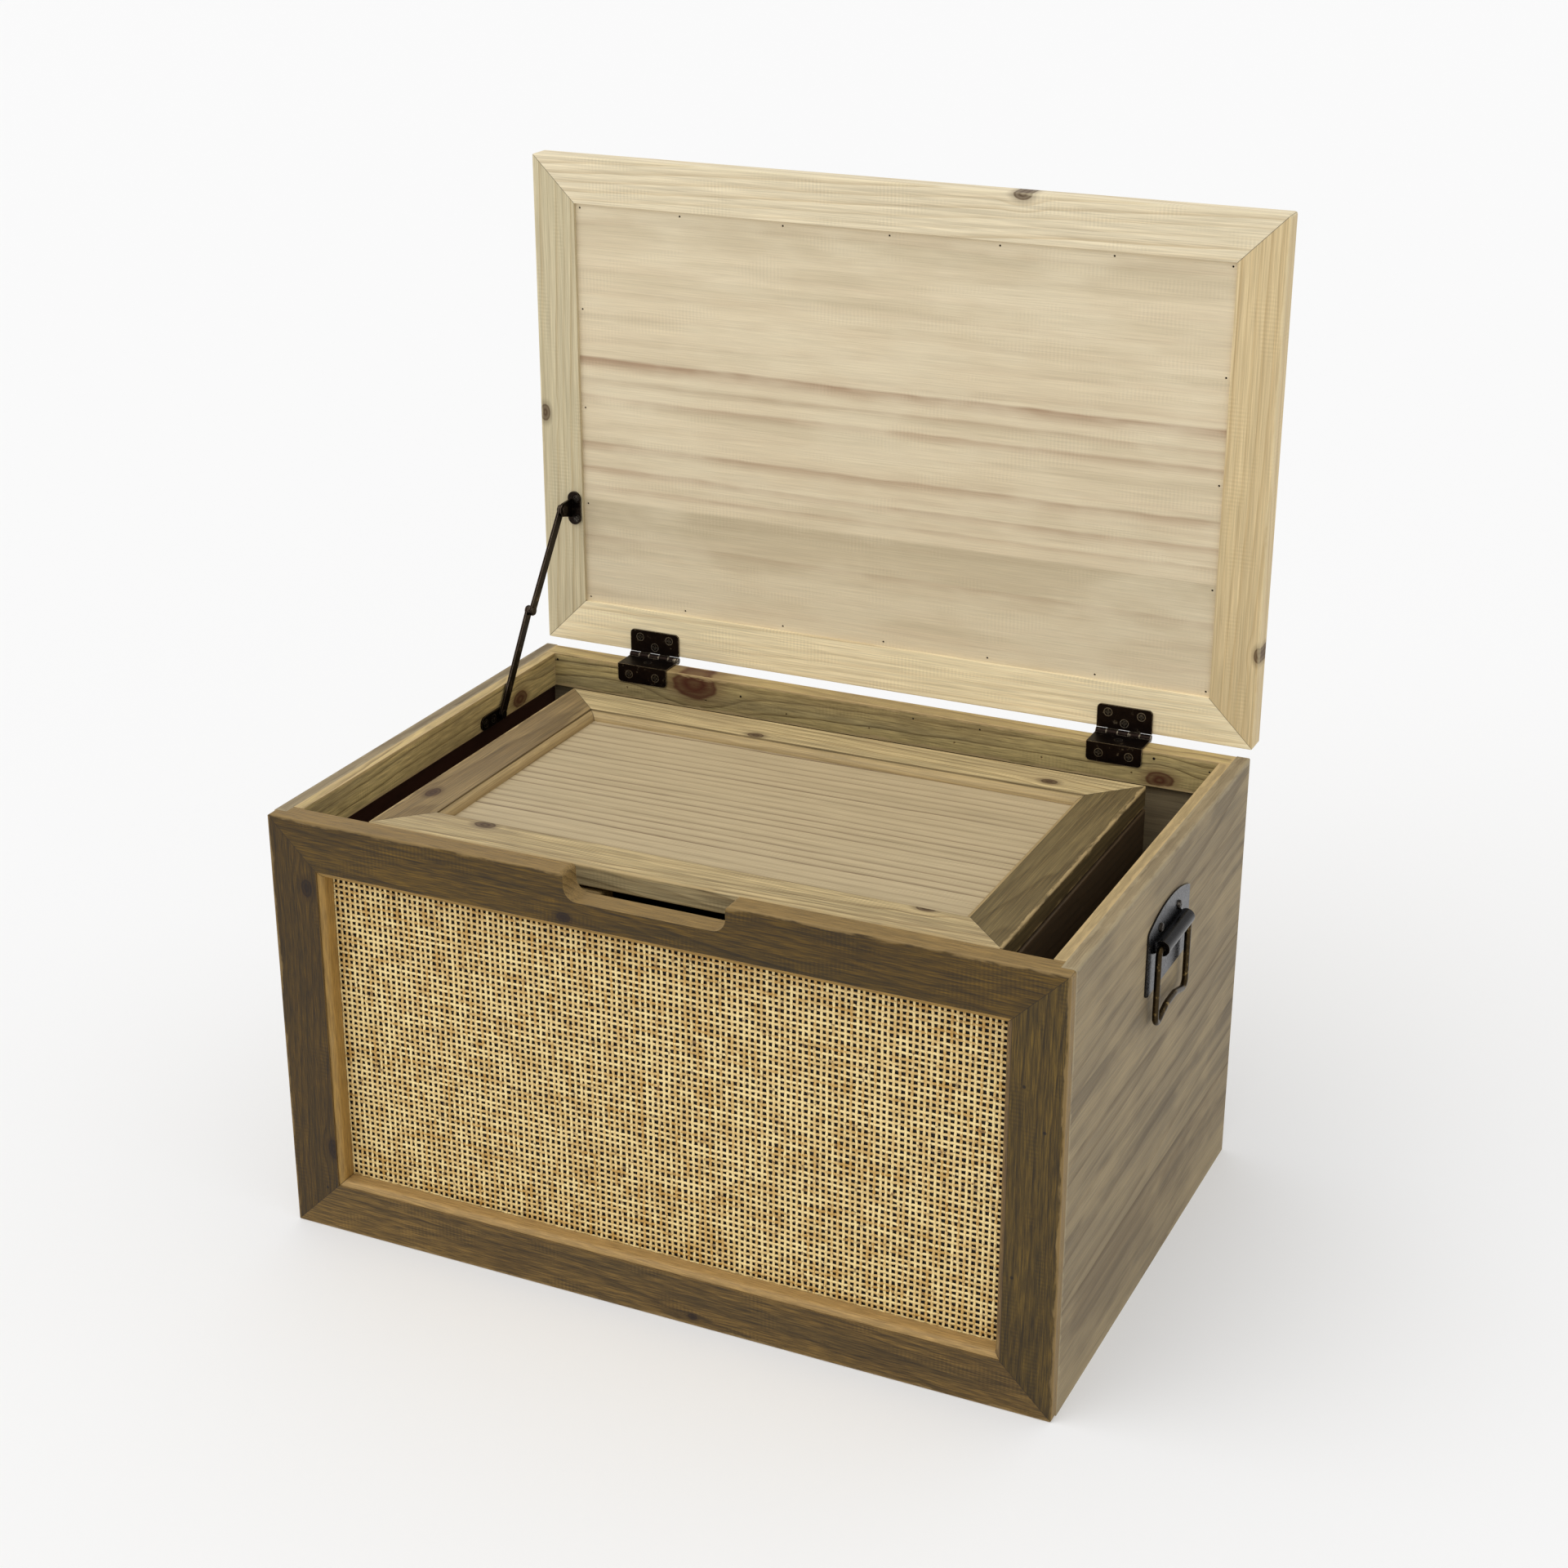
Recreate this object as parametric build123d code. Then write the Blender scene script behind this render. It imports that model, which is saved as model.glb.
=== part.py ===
from build123d import *
import math
import os
from dataclasses import dataclass

# A wooden storage chest with a woven cane front, a framed lid on two butt hinges, a folding
# lid stay, two drop handles and a smaller chest of the same make standing inside it.
# Millimetres. X to the right, Y from the front to the back, Z up from the floor.
# The lid is open at rest, and the origin is below the middle of the open chest.


@dataclass
class Chest:
    """Outside sizes of one chest, measured from the bottom left of its front face."""

    width: float
    depth: float
    height: float  # floor to rim
    board: float  # thickness of the side and back boards
    wall: float  # whole thickness at the rim
    front: float  # thickness of the front frame
    front_member: float  # face width of the front frame
    front_bead: float  # radius of the bead inside the front frame
    cane_depth: float  # front face to the cane
    lid: float  # thickness of the lid
    lid_member: float  # face width of the lid's frame
    lid_bead: float
    panel_depth: float  # top of the lid to its panel
    notch_width: float  # finger notch in the top rail
    notch_depth: float
    floor_low: float  # underside of the bottom panel
    hinge_width: float
    hinge_x: float  # middle of each hinge from the middle of the chest


OUTER = Chest(
    width=520.0, depth=343.0, height=288.0, board=9.0, wall=16.0,
    front=16.0, front_member=37.0, front_bead=4.0, cane_depth=12.0,
    lid=15.0, lid_member=37.0, lid_bead=5.0, panel_depth=6.5,
    notch_width=105.5, notch_depth=17.3, floor_low=18.0,
    hinge_width=38.0, hinge_x=173.5,
)
NESTED = Chest(
    width=420.0, depth=261.0, height=233.4, board=12.0, wall=12.0,
    front=14.0, front_member=34.0, front_bead=4.0, cane_depth=10.0,
    lid=14.0, lid_member=36.0, lid_bead=5.0, panel_depth=6.5,
    notch_width=90.0, notch_depth=15.0, floor_low=8.0,
    hinge_width=38.0, hinge_x=135.0,
)
NESTED_X = -6.0
NESTED_Y = 42.5
NESTED_GAP = 0.2  # between the nested chest and the floor it stands on

EASE = 1.2  # rounding of sanded wood edges
CORNER = 2.5  # rounding of worn frame corners
QUIRK = 1.0  # small step before a bead
REBATE = 6.0  # width of the rebate that holds a panel
CANE = 1.6
BACKING = 2.4
SIDE_LAP = 8.0  # how far the front frame covers the side boards' ends
LID_PANEL = 6.0
BOTTOM = 6.0
LINING = 2.0
CLEAT_HEIGHT = 24.0
FOOT_CLEAT = 7.0
NOTCH_LOW_RADIUS = 9.0
NOTCH_TOP_RADIUS = 3.0

LID_GAP = 2.4  # rim to the closed lid
PIN_BACK = 2.7  # hinge pin behind the back face
PIN_UP = 1.2  # hinge pin above the rim
PIN_RADIUS = 1.0
PIN_CLEAR = 0.06
KNUCKLE_RADIUS = 2.4
KNUCKLES = 5
KNUCKLE_GAP = 0.3
LEAF = 1.0
LEAF_REACH = 19.0
LEAF_CORNER = 3.0
LEAF_SCREW_SPREAD = 11.4  # outer screws of the upper leaf, from its middle
LEAF_SCREW_FAR = 13.8  # from the pin
LEAF_SCREW_NEAR = 7.4
FLAP = 12.5  # lower leaf down the inside of the rail
FLAP_SCREW_SPREAD = 10.3
OPEN_ANGLE = 90.0

SCREW_RADIUS = 1.3
SCREW_HEAD = 2.9
SCREW_SINK = 1.0
SCREW_LENGTH = 9.0
SLOT_WIDTH = 0.7
SLOT_LENGTH = 3.4
SLOT_DEPTH = 0.5
DOME_RADIUS = 3.0
DOME_HEIGHT = 1.5
DOME_EDGE = 1.2  # rounding of the dome's rim
SHORT_SCREW = 6.5

NAIL_RADIUS = 0.7
NAIL_LENGTH = 9.0
NAIL_SINK = 0.6
NAIL_INSET = 3.2
NAIL_PITCH = 78.0
RAIL_HOLE_PITCH = 62.0
RAIL_HOLE_DEPTH = 1.5
RAIL_HOLE_DROP = 16.8  # below the rim

HANDLE_Y = 175.8  # middle of each handle from the front face
PLATE_WIDTH = 80.0
PLATE_LOW = 211.0
PLATE_SHOULDER = 253.0
PLATE_TOP = 261.0
PLATE = 1.2
PLATE_SCREW_Y = 17.5
PLATE_SCREW_Z = 248.5
BARREL_RADIUS = 5.0
BARREL_LENGTH = 50.0
BARREL_Z = 238.5
BARREL_SINK = 0.4  # how far the rolled barrel grows out of the plate
WIRE_RADIUS = 2.0
WIRE_CLEAR = 0.1
WIRE_HALF = 29.5
WIRE_LOW = 188.5
WIRE_ARCH = 194.5
WIRE_ARCH_HALF = 8.0
WIRE_BENDS = [4.0, 5.0, 12.0]

LINK = 1.6
LINK_WIDTH = 7.0
RIVET_RADIUS = 1.5
RIVET_CLEAR = 0.05
RIVET_HEAD = 3.0
RIVET_HEAD_THICK = 1.0
RIVET_PLAY = 0.1  # between a rivet head and the link that turns under it
KNEE_HEAD_THICK = 0.8
STAY_BEND = 3.0  # the two links stop this many degrees short of straight
WALL_PIVOT = (249.0, 269.0)  # Y and Z
LID_PIVOT = (333.5, 392.9)
LOWER_LINK_X = -242.5
UPPER_LINK_X = -239.6
EAR_X = -237.7
EAR = 1.4
STAY_PLATE = 1.2
BRACKET_LEFT = -240.1
BRACKET_WIDTH = 10.0
BRACKET_LENGTH = 23.8
BRACKET_Z = 391.1
BRACKET_CORNER = 4.9
BRACKET_SCREW_X = -232.4
BRACKET_SCREWS = 14.3  # from one screw to the other
WALL_PLATE_FRONT = 223.5
WALL_PLATE_BACK = 256.0
WALL_PLATE_HEIGHT = 10.0
WALL_SCREWS = (229.0, 239.5)

OPEN_DEPTH = OUTER.depth + PIN_BACK + LID_GAP - PIN_UP + OUTER.lid
SECTION = Plane(origin=(0, 0, 0), x_dir=(0, 0, 1), z_dir=(-1, 0, 0))


def span(low, high):
    """A box between two opposite corners."""
    size = [b - a for a, b in zip(low, high)]
    middle = [(a + b) / 2 for a, b in zip(low, high)]
    return Pos(*middle) * Box(*size)


def save(name, shape):
    """Write one sub-part, moved from the front face's frame to the row's origin."""
    placed = Pos(0, -OPEN_DEPTH / 2, 0) * shape
    placed.label = name
    export_step(placed, f"parts/{name}.step")


# frames


def bead_section(member, thick, bead, lip):
    """A frame member cut across: X runs over its face towards the panel, Y into the wood."""
    shoulder = member - bead
    outline = Polyline(
        (shoulder, QUIRK), (shoulder, 0), (0, 0), (0, thick), (member - REBATE, thick),
        (member - REBATE, lip), (member, lip), (member, QUIRK + bead),
    )
    arc = CenterArc((shoulder, QUIRK + bead), bead, -90, 90)
    face = make_face(outline + arc)
    return fillet(face.vertices().group_by(Axis.X)[0], EASE)


def frame_member(section, length, across, member, notch=None):
    """One mitred member with its outer edge down, the frame's middle at the origin."""
    half = length / 2
    tip = half - member
    plan = Polygon((-half, 0), (half, 0), (tip, member), (-tip, member), align=None)
    plan = plan & Pos(0, across / 2) * RectangleRounded(length, across, CORNER)
    if notch:
        plan = notched(plan, *notch)
    bar = extrude(SECTION * section, half, both=True)
    bar = bar & extrude(Plane.XZ * plan, across, both=True)
    return Pos(0, 0, -across / 2) * bar


def notched(plan, width, depth):
    """A member's outline with a rounded finger notch in its outer edge."""
    plan = plan - Rectangle(width, 2 * depth)
    near = plan.vertices().filter_by(lambda v: abs(abs(v.X) - width / 2) < EASE)
    plan = fillet(near.group_by(Axis.Y)[-1], NOTCH_LOW_RADIUS)
    near = plan.vertices().filter_by(lambda v: abs(abs(v.X) - width / 2) < EASE)
    return fillet(near.group_by(Axis.Y)[0], NOTCH_TOP_RADIUS)


def mitred_frame(section, width, height, member, notch=None):
    """Bottom, top, left and right members round the origin, faces towards -Y."""
    bottom = frame_member(section, width, height, member)
    top = Rot(0, 180, 0) * frame_member(section, width, height, member, notch)
    side = frame_member(section, height, width, member)
    return bottom, top, Rot(0, 90, 0) * side, Rot(0, -90, 0) * side


# fasteners


def sunk_screw(length=SCREW_LENGTH):
    """Countersunk cross-head screw, its flat head level with Z = 0, pointing down."""
    head = Pos(0, 0, -SCREW_SINK / 2) * Cone(SCREW_RADIUS, SCREW_HEAD, SCREW_SINK)
    shank = Pos(0, 0, -SCREW_SINK - length / 2) * Cylinder(SCREW_RADIUS, length)
    return head + shank


def dome_screw():
    """Round-head screw standing on Z = 0, pointing down."""
    head = Pos(0, 0, DOME_HEIGHT / 2) * Cylinder(DOME_RADIUS, DOME_HEIGHT)
    head = fillet(head.edges().group_by(Axis.Z)[-1], DOME_EDGE)
    return head + Pos(0, 0, -SHORT_SCREW / 2) * Cylinder(SCREW_RADIUS, SHORT_SCREW)


def cross_slot(top):
    """The driver recess cut into a screw head whose top is at the given height."""
    bar = Pos(0, 0, top - SLOT_DEPTH / 2) * Box(SLOT_LENGTH, SLOT_WIDTH, SLOT_DEPTH)
    return bar + Rot(0, 0, 90) * bar


def place(shape, spots):
    """Copies of a shape at each location, as a list."""
    return [spot * shape for spot in spots]


def down(x, y, z):
    """A fastener driven downwards."""
    return Pos(x, y, z)


def up(x, y, z):
    """A fastener driven upwards."""
    return Pos(x, y, z) * Rot(180, 0, 0)


def backwards(x, y, z):
    """A fastener driven towards +Y."""
    return Pos(x, y, z) * Rot(90, 0, 0)


def leftwards(x, y, z):
    """A fastener driven towards -X."""
    return Pos(x, y, z) * Rot(0, 90, 0)


# carcass parts


def front_frame(chest):
    """The beaded front frame, cut back where the side boards' ends go in."""
    section = bead_section(
        chest.front_member, chest.front, chest.front_bead, chest.cane_depth
    )
    notch = (chest.notch_width, chest.notch_depth)
    members = mitred_frame(section, chest.width, chest.height, chest.front_member, notch)
    boards = [side_space(chest, side) for side in (-1, 1)]
    return [Pos(0, 0, chest.height / 2) * m - boards for m in members]


def side_space(chest, side):
    """The space of one side board, which the frame's back corner is cut for."""
    edge = side * chest.width / 2
    low, high = sorted((edge, edge - side * chest.board))
    return span((low, SIDE_LAP, 0), (high, chest.depth, chest.height))


def side_board(chest, side):
    """Side board with its grain from front to back and its outer edges sanded round."""
    board = side_space(chest, side)
    outside = board.edges().filter_by(Axis.Y).group_by(Axis.X)[0 if side < 0 else -1]
    rim = outside.group_by(Axis.Z)[-1]
    back = board.edges().filter_by(Axis.Z).group_by(Axis.Y)[-1]
    return fillet(rim + back.group_by(Axis.X)[0 if side < 0 else -1], EASE)


def cane_sheets(chest):
    """The cane panel and its backing, in the rebate behind the front frame."""
    half = chest.width / 2 - chest.front_member + REBATE
    low = chest.front_member - REBATE
    high = chest.height - low
    behind = chest.cane_depth + CANE
    cane = span((-half, chest.cane_depth, low), (half, behind, high))
    backing = span((-half, behind, low), (half, behind + BACKING, high))
    return cane, backing


def back_parts(chest, rail_height):
    """The thick rail along the rim and the board below it."""
    half = chest.width / 2 - chest.board
    step = chest.height - rail_height
    rail = span((-half, chest.depth - chest.wall, step), (half, chest.depth, chest.height))
    board = span((-half, chest.depth - chest.board, 0), (half, chest.depth, step))
    edge = rail.edges().filter_by(Axis.X).group_by(Axis.Z)[-1].group_by(Axis.Y)[-1]
    return fillet(edge, EASE), board


def rail_holes(chest, z):
    """Shallow nail holes in a row along the inner face of the back rail."""
    count = int((chest.width - 2 * chest.wall) / RAIL_HOLE_PITCH)
    hole = Rot(90, 0, 0) * Cylinder(NAIL_RADIUS, 2 * RAIL_HOLE_DEPTH)
    y = chest.depth - chest.wall
    return [Pos((i - (count - 1) / 2) * RAIL_HOLE_PITCH, y, z) * hole for i in range(count)]


def bottom_panel(chest):
    """The floor of a chest, between its boards."""
    half = chest.width / 2 - chest.board
    low = (-half, chest.front, chest.floor_low)
    return span(low, (half, chest.depth - chest.board, chest.floor_low + BOTTOM))


def side_strip(chest, side, thick, low, high):
    """A strip along the inside of a side board, between the front frame and the back."""
    face = chest.width / 2 - chest.board
    x0, x1 = sorted((side * face, side * (face - thick)))
    return span((x0, chest.front, low), (x1, chest.depth - chest.board, high))


# lid


def lid_frame(chest):
    """Front, back, left and right members of the closed lid, and its panel."""
    top = chest.height + LID_GAP + chest.lid
    section = bead_section(
        chest.lid_member, chest.lid, chest.lid_bead, chest.panel_depth
    )
    members = mitred_frame(section, chest.width, chest.depth, chest.lid_member)
    lay = Pos(0, chest.depth / 2, top) * Rot(-90, 0, 0)
    inset = chest.lid_member - REBATE
    half = chest.width / 2 - inset
    high = top - chest.panel_depth
    panel = span((-half, inset, high - LID_PANEL), (half, chest.depth - inset, high))
    return [lay * m for m in members], panel


def evenly(low, high, pitch):
    """Evenly spread values from low to high, about one pitch apart."""
    count = round((high - low) / pitch)
    return [low + (high - low) * i / count for i in range(count + 1)]


def panel_nail_spots(chest):
    """Where nails go up through the edge of the lid's panel."""
    inset = chest.lid_member - REBATE + NAIL_INSET
    half = chest.width / 2 - inset
    back = chest.depth - inset
    z = chest.height + LID_GAP + chest.lid - chest.panel_depth - LID_PANEL
    rows = [(x, y) for x in evenly(-half, half, NAIL_PITCH) for y in (inset, back)]
    ends = [(x, y) for x in (-half, half) for y in evenly(inset, back, NAIL_PITCH)[1:-1]]
    return [(x, y, z) for x, y in rows + ends]


def panel_nails(chest):
    """The nails, set a little below the surface, and the holes they are driven into."""
    nails, holes = [], []
    for x, y, z in panel_nail_spots(chest):
        middle = z + NAIL_SINK + NAIL_LENGTH / 2
        nails.append(Pos(x, y, middle) * Cylinder(NAIL_RADIUS, NAIL_LENGTH))
        bore = Cylinder(NAIL_RADIUS, NAIL_LENGTH + 2 * NAIL_SINK)
        holes.append(Pos(x, y, middle - NAIL_SINK) * bore)
    return nails, holes


# hinges


def knuckles(chest, x, first, radius, spare):
    """Every second knuckle of a hinge barrel, each longer by the spare."""
    pitch = chest.hinge_width / KNUCKLES
    left = x - chest.hinge_width / 2
    y, z = pin_axis(chest)
    tube = Rot(0, 90, 0) * Cylinder(radius, pitch + spare)
    return [Pos(left + (i + 0.5) * pitch, y, z) * tube for i in range(first, KNUCKLES, 2)]


def pin_axis(chest):
    """Y and Z of a chest's hinge pins."""
    return chest.depth + PIN_BACK, chest.height + PIN_UP


def hinge_pin(chest, x, spare):
    """A hinge pin, or its bore when it is wider by the spare."""
    y, z = pin_axis(chest)
    rod = Rot(0, 90, 0) * Cylinder(PIN_RADIUS + spare, chest.hinge_width)
    return Pos(x, y, z) * rod


def lower_leaf(chest, x):
    """Leaf over the rim and down the inside of the back rail."""
    y = pin_axis(chest)[0]
    half = chest.hinge_width / 2
    inner = chest.depth - chest.wall
    rim = chest.height
    plate = span((x - half, inner - LEAF, rim), (x + half, y, rim + LEAF))
    flap = span((x - half, inner - LEAF, rim - FLAP), (x + half, inner, rim + LEAF))
    flap = fillet(flap.edges().filter_by(Axis.Y).group_by(Axis.Z)[0], LEAF_CORNER)
    leaf = plate + flap
    leaf = leaf - knuckles(chest, x, 1, KNUCKLE_RADIUS + KNUCKLE_GAP, KNUCKLE_GAP)
    leaf = leaf + knuckles(chest, x, 0, KNUCKLE_RADIUS, -KNUCKLE_GAP)
    return leaf - hinge_pin(chest, x, 0)


def upper_leaf(chest, x):
    """Leaf flat on the underside of the closed lid."""
    y = pin_axis(chest)[0]
    half = chest.hinge_width / 2
    top = chest.height + LID_GAP
    leaf = span((x - half, y - LEAF_REACH, top - LEAF), (x + half, y, top))
    leaf = fillet(leaf.edges().filter_by(Axis.Z).group_by(Axis.Y)[0], LEAF_CORNER)
    leaf = leaf - knuckles(chest, x, 0, KNUCKLE_RADIUS + KNUCKLE_GAP, KNUCKLE_GAP)
    leaf = leaf + knuckles(chest, x, 1, KNUCKLE_RADIUS, -KNUCKLE_GAP)
    return leaf - hinge_pin(chest, x, PIN_CLEAR)


def lower_leaf_screws(chest, x):
    """One screw down into the rim, two into the inner face of the back rail."""
    inner = chest.depth - chest.wall
    flap_z = chest.height - FLAP / 2
    spread = (-FLAP_SCREW_SPREAD, FLAP_SCREW_SPREAD)
    spots = [down(x, inner + chest.wall / 2, chest.height + LEAF)]
    return spots + [backwards(x + s, inner - LEAF, flap_z) for s in spread]


def upper_leaf_screws(chest, x):
    """A triangle of three screws up into the lid's back rail."""
    y = pin_axis(chest)[0]
    z = chest.height + LID_GAP - LEAF
    spread = (-LEAF_SCREW_SPREAD, LEAF_SCREW_SPREAD)
    return [up(x + s, y - LEAF_SCREW_FAR, z) for s in spread] + [up(x, y - LEAF_SCREW_NEAR, z)]


# handles


def handle_plate():
    """Arched back plate with its rolled barrel, on the right side face."""
    face = OUTER.width / 2
    half = PLATE_WIDTH / 2
    outline = Polyline(
        (-half, PLATE_SHOULDER), (-half, PLATE_LOW), (half, PLATE_LOW), (half, PLATE_SHOULDER)
    )
    arch = ThreePointArc((half, PLATE_SHOULDER), (0, PLATE_TOP), (-half, PLATE_SHOULDER))
    sketch = fillet(make_face(outline + arch).vertices(), NOTCH_TOP_RADIUS)
    plate = extrude(Plane.YZ.offset(face) * sketch, PLATE)
    barrel = barrel_place() * Cylinder(BARREL_RADIUS, BARREL_LENGTH)
    bore = barrel_place() * Cylinder(WIRE_RADIUS + WIRE_CLEAR, BARREL_LENGTH)
    roll = barrel - span((0, -half, PLATE_LOW), (face, half, PLATE_TOP))
    return Pos(0, HANDLE_Y, 0) * (plate + roll - bore)


def barrel_place():
    """The barrel's axis, along Y outside the right side face."""
    x = OUTER.width / 2 + BARREL_RADIUS - BARREL_SINK
    return Pos(x, 0, BARREL_Z) * Rot(90, 0, 0)


def handle_bail():
    """Wire bail: through the barrel, down both sides, round and arched up in the middle."""
    x = OUTER.width / 2 + BARREL_RADIUS - BARREL_SINK
    path = FilletPolyline(
        (x, 0, BARREL_Z), (x, WIRE_HALF, BARREL_Z), (x, WIRE_HALF, WIRE_LOW),
        (x, WIRE_ARCH_HALF, WIRE_ARCH), (x, 0, WIRE_ARCH), radius=WIRE_BENDS,
    )
    start = Plane(origin=(x, 0, BARREL_Z), z_dir=(0, 1, 0))
    half = sweep(start * Circle(WIRE_RADIUS), path=path)
    return Pos(0, HANDLE_Y, 0) * (half + mirror(half, Plane.XZ))


def handle_screw_spots():
    """Two screws through the plate above the barrel."""
    x = OUTER.width / 2 + PLATE
    spread = (-PLATE_SCREW_Y, PLATE_SCREW_Y)
    return [leftwards(x, HANDLE_Y + s, PLATE_SCREW_Z) for s in spread]


# lid stay


def knee():
    """Y and Z of the knee between two equal links, folded a little towards the front."""
    (y0, z0), (y1, z1) = WALL_PIVOT, LID_PIVOT
    half = math.hypot(y1 - y0, z1 - z0) / 2
    out = half * math.tan(math.radians(STAY_BEND / 2))
    rise = (z1 - z0) / (2 * half)
    run = (y1 - y0) / (2 * half)
    return (y0 + y1) / 2 - out * rise, (z0 + z1) / 2 + out * run


def disc(x0, x1, centre, radius):
    """A round along X between two places, at a Y and Z."""
    spot = Pos((x0 + x1) / 2, *centre) * Rot(0, 90, 0)
    return spot * Cylinder(radius, x1 - x0)


def link(x, start, end):
    """A flat round-ended bar from one pivot to the other, with a hole at each."""
    (y0, z0), (y1, z1) = start, end
    length = math.hypot(y1 - y0, z1 - z0)
    along = Plane(
        origin=(x, (y0 + y1) / 2, (z0 + z1) / 2), x_dir=(0, y1 - y0, z1 - z0), z_dir=(1, 0, 0)
    )
    bar = extrude(along * SlotCenterToCenter(length, LINK_WIDTH), LINK)
    holes = [disc(x, x + LINK, p, RIVET_RADIUS + RIVET_CLEAR) for p in (start, end)]
    return bar - holes


def wall_bracket():
    """Flat plate on the left cleat, round at both ends."""
    length = WALL_PLATE_BACK - WALL_PLATE_FRONT
    face = OUTER.wall - OUTER.width / 2
    middle = (WALL_PLATE_BACK + WALL_PLATE_FRONT) / 2
    on_cleat = Plane(origin=(face, middle, WALL_PIVOT[1]), x_dir=(0, 1, 0), z_dir=(1, 0, 0))
    return extrude(on_cleat * SlotOverall(length, WALL_PLATE_HEIGHT), STAY_PLATE)


def lid_bracket():
    """Plate on the open lid's inner face, with an ear that carries the upper pivot."""
    face = OUTER.depth + PIN_BACK + LID_GAP - PIN_UP
    y, z = LID_PIVOT
    low, high = BRACKET_Z - BRACKET_LENGTH / 2, BRACKET_Z + BRACKET_LENGTH / 2
    right = BRACKET_LEFT + BRACKET_WIDTH
    plate = span((BRACKET_LEFT, face - EAR, low), (right, face, high))
    plate = fillet(plate.edges().filter_by(Axis.Y), BRACKET_CORNER)
    foot, head = low + BRACKET_CORNER, high - BRACKET_CORNER
    outline = Polyline(
        (face, foot), (face, head), (y, z + BRACKET_CORNER), (y, z - BRACKET_CORNER), (face, foot)
    )
    web = make_face(outline) + Pos(y, z) * Circle(BRACKET_CORNER)
    ear = extrude(Plane.YZ.offset(EAR_X) * web, EAR)
    return plate + ear


def wall_rivet():
    """Rivet that fixes the lower link to the wall bracket."""
    face = LOWER_LINK_X + LINK
    start = OUTER.wall - OUTER.width / 2
    shank = disc(start, face + KNUCKLE_GAP, WALL_PIVOT, RIVET_RADIUS)
    return shank + disc(face + RIVET_PLAY, face + RIVET_HEAD_THICK, WALL_PIVOT, RIVET_HEAD)


def knee_rivet():
    """Rivet and washer at the lower link's knee end."""
    face = LOWER_LINK_X + LINK
    shank = disc(LOWER_LINK_X, face, knee(), RIVET_RADIUS + RIVET_CLEAR)
    head = disc(LOWER_LINK_X - KNEE_HEAD_THICK, LOWER_LINK_X, knee(), RIVET_HEAD)
    return shank + head + disc(face, face + RIVET_HEAD_THICK, knee(), LINK_WIDTH / 2)


def upper_link():
    """Upper link, with the knee's other rivet head closing its lower hole."""
    bar = link(UPPER_LINK_X, knee(), LID_PIVOT)
    face = UPPER_LINK_X + LINK
    plug = disc(UPPER_LINK_X, face, knee(), RIVET_RADIUS + RIVET_CLEAR)
    head = disc(face, face + KNEE_HEAD_THICK, knee(), RIVET_HEAD)
    return bar + plug + head


def lid_rivet():
    """Rivet through the upper link and the lid bracket's ear."""
    near, far = UPPER_LINK_X - RIVET_PLAY, EAR_X + EAR
    inner = disc(near - KNEE_HEAD_THICK, near, LID_PIVOT, RIVET_HEAD)
    shank = disc(near, far, LID_PIVOT, RIVET_RADIUS)
    return inner + shank + disc(far, far + RIVET_HEAD_THICK, LID_PIVOT, RIVET_HEAD)


# assembly


def swing_open(chest, shape):
    """Turn a part of the closed lid about its pins to where the open lid stands."""
    y, z = pin_axis(chest)
    return Pos(0, y, z) * Rot(-OPEN_ANGLE, 0, 0) * Pos(0, -y, -z) * shape


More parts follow.
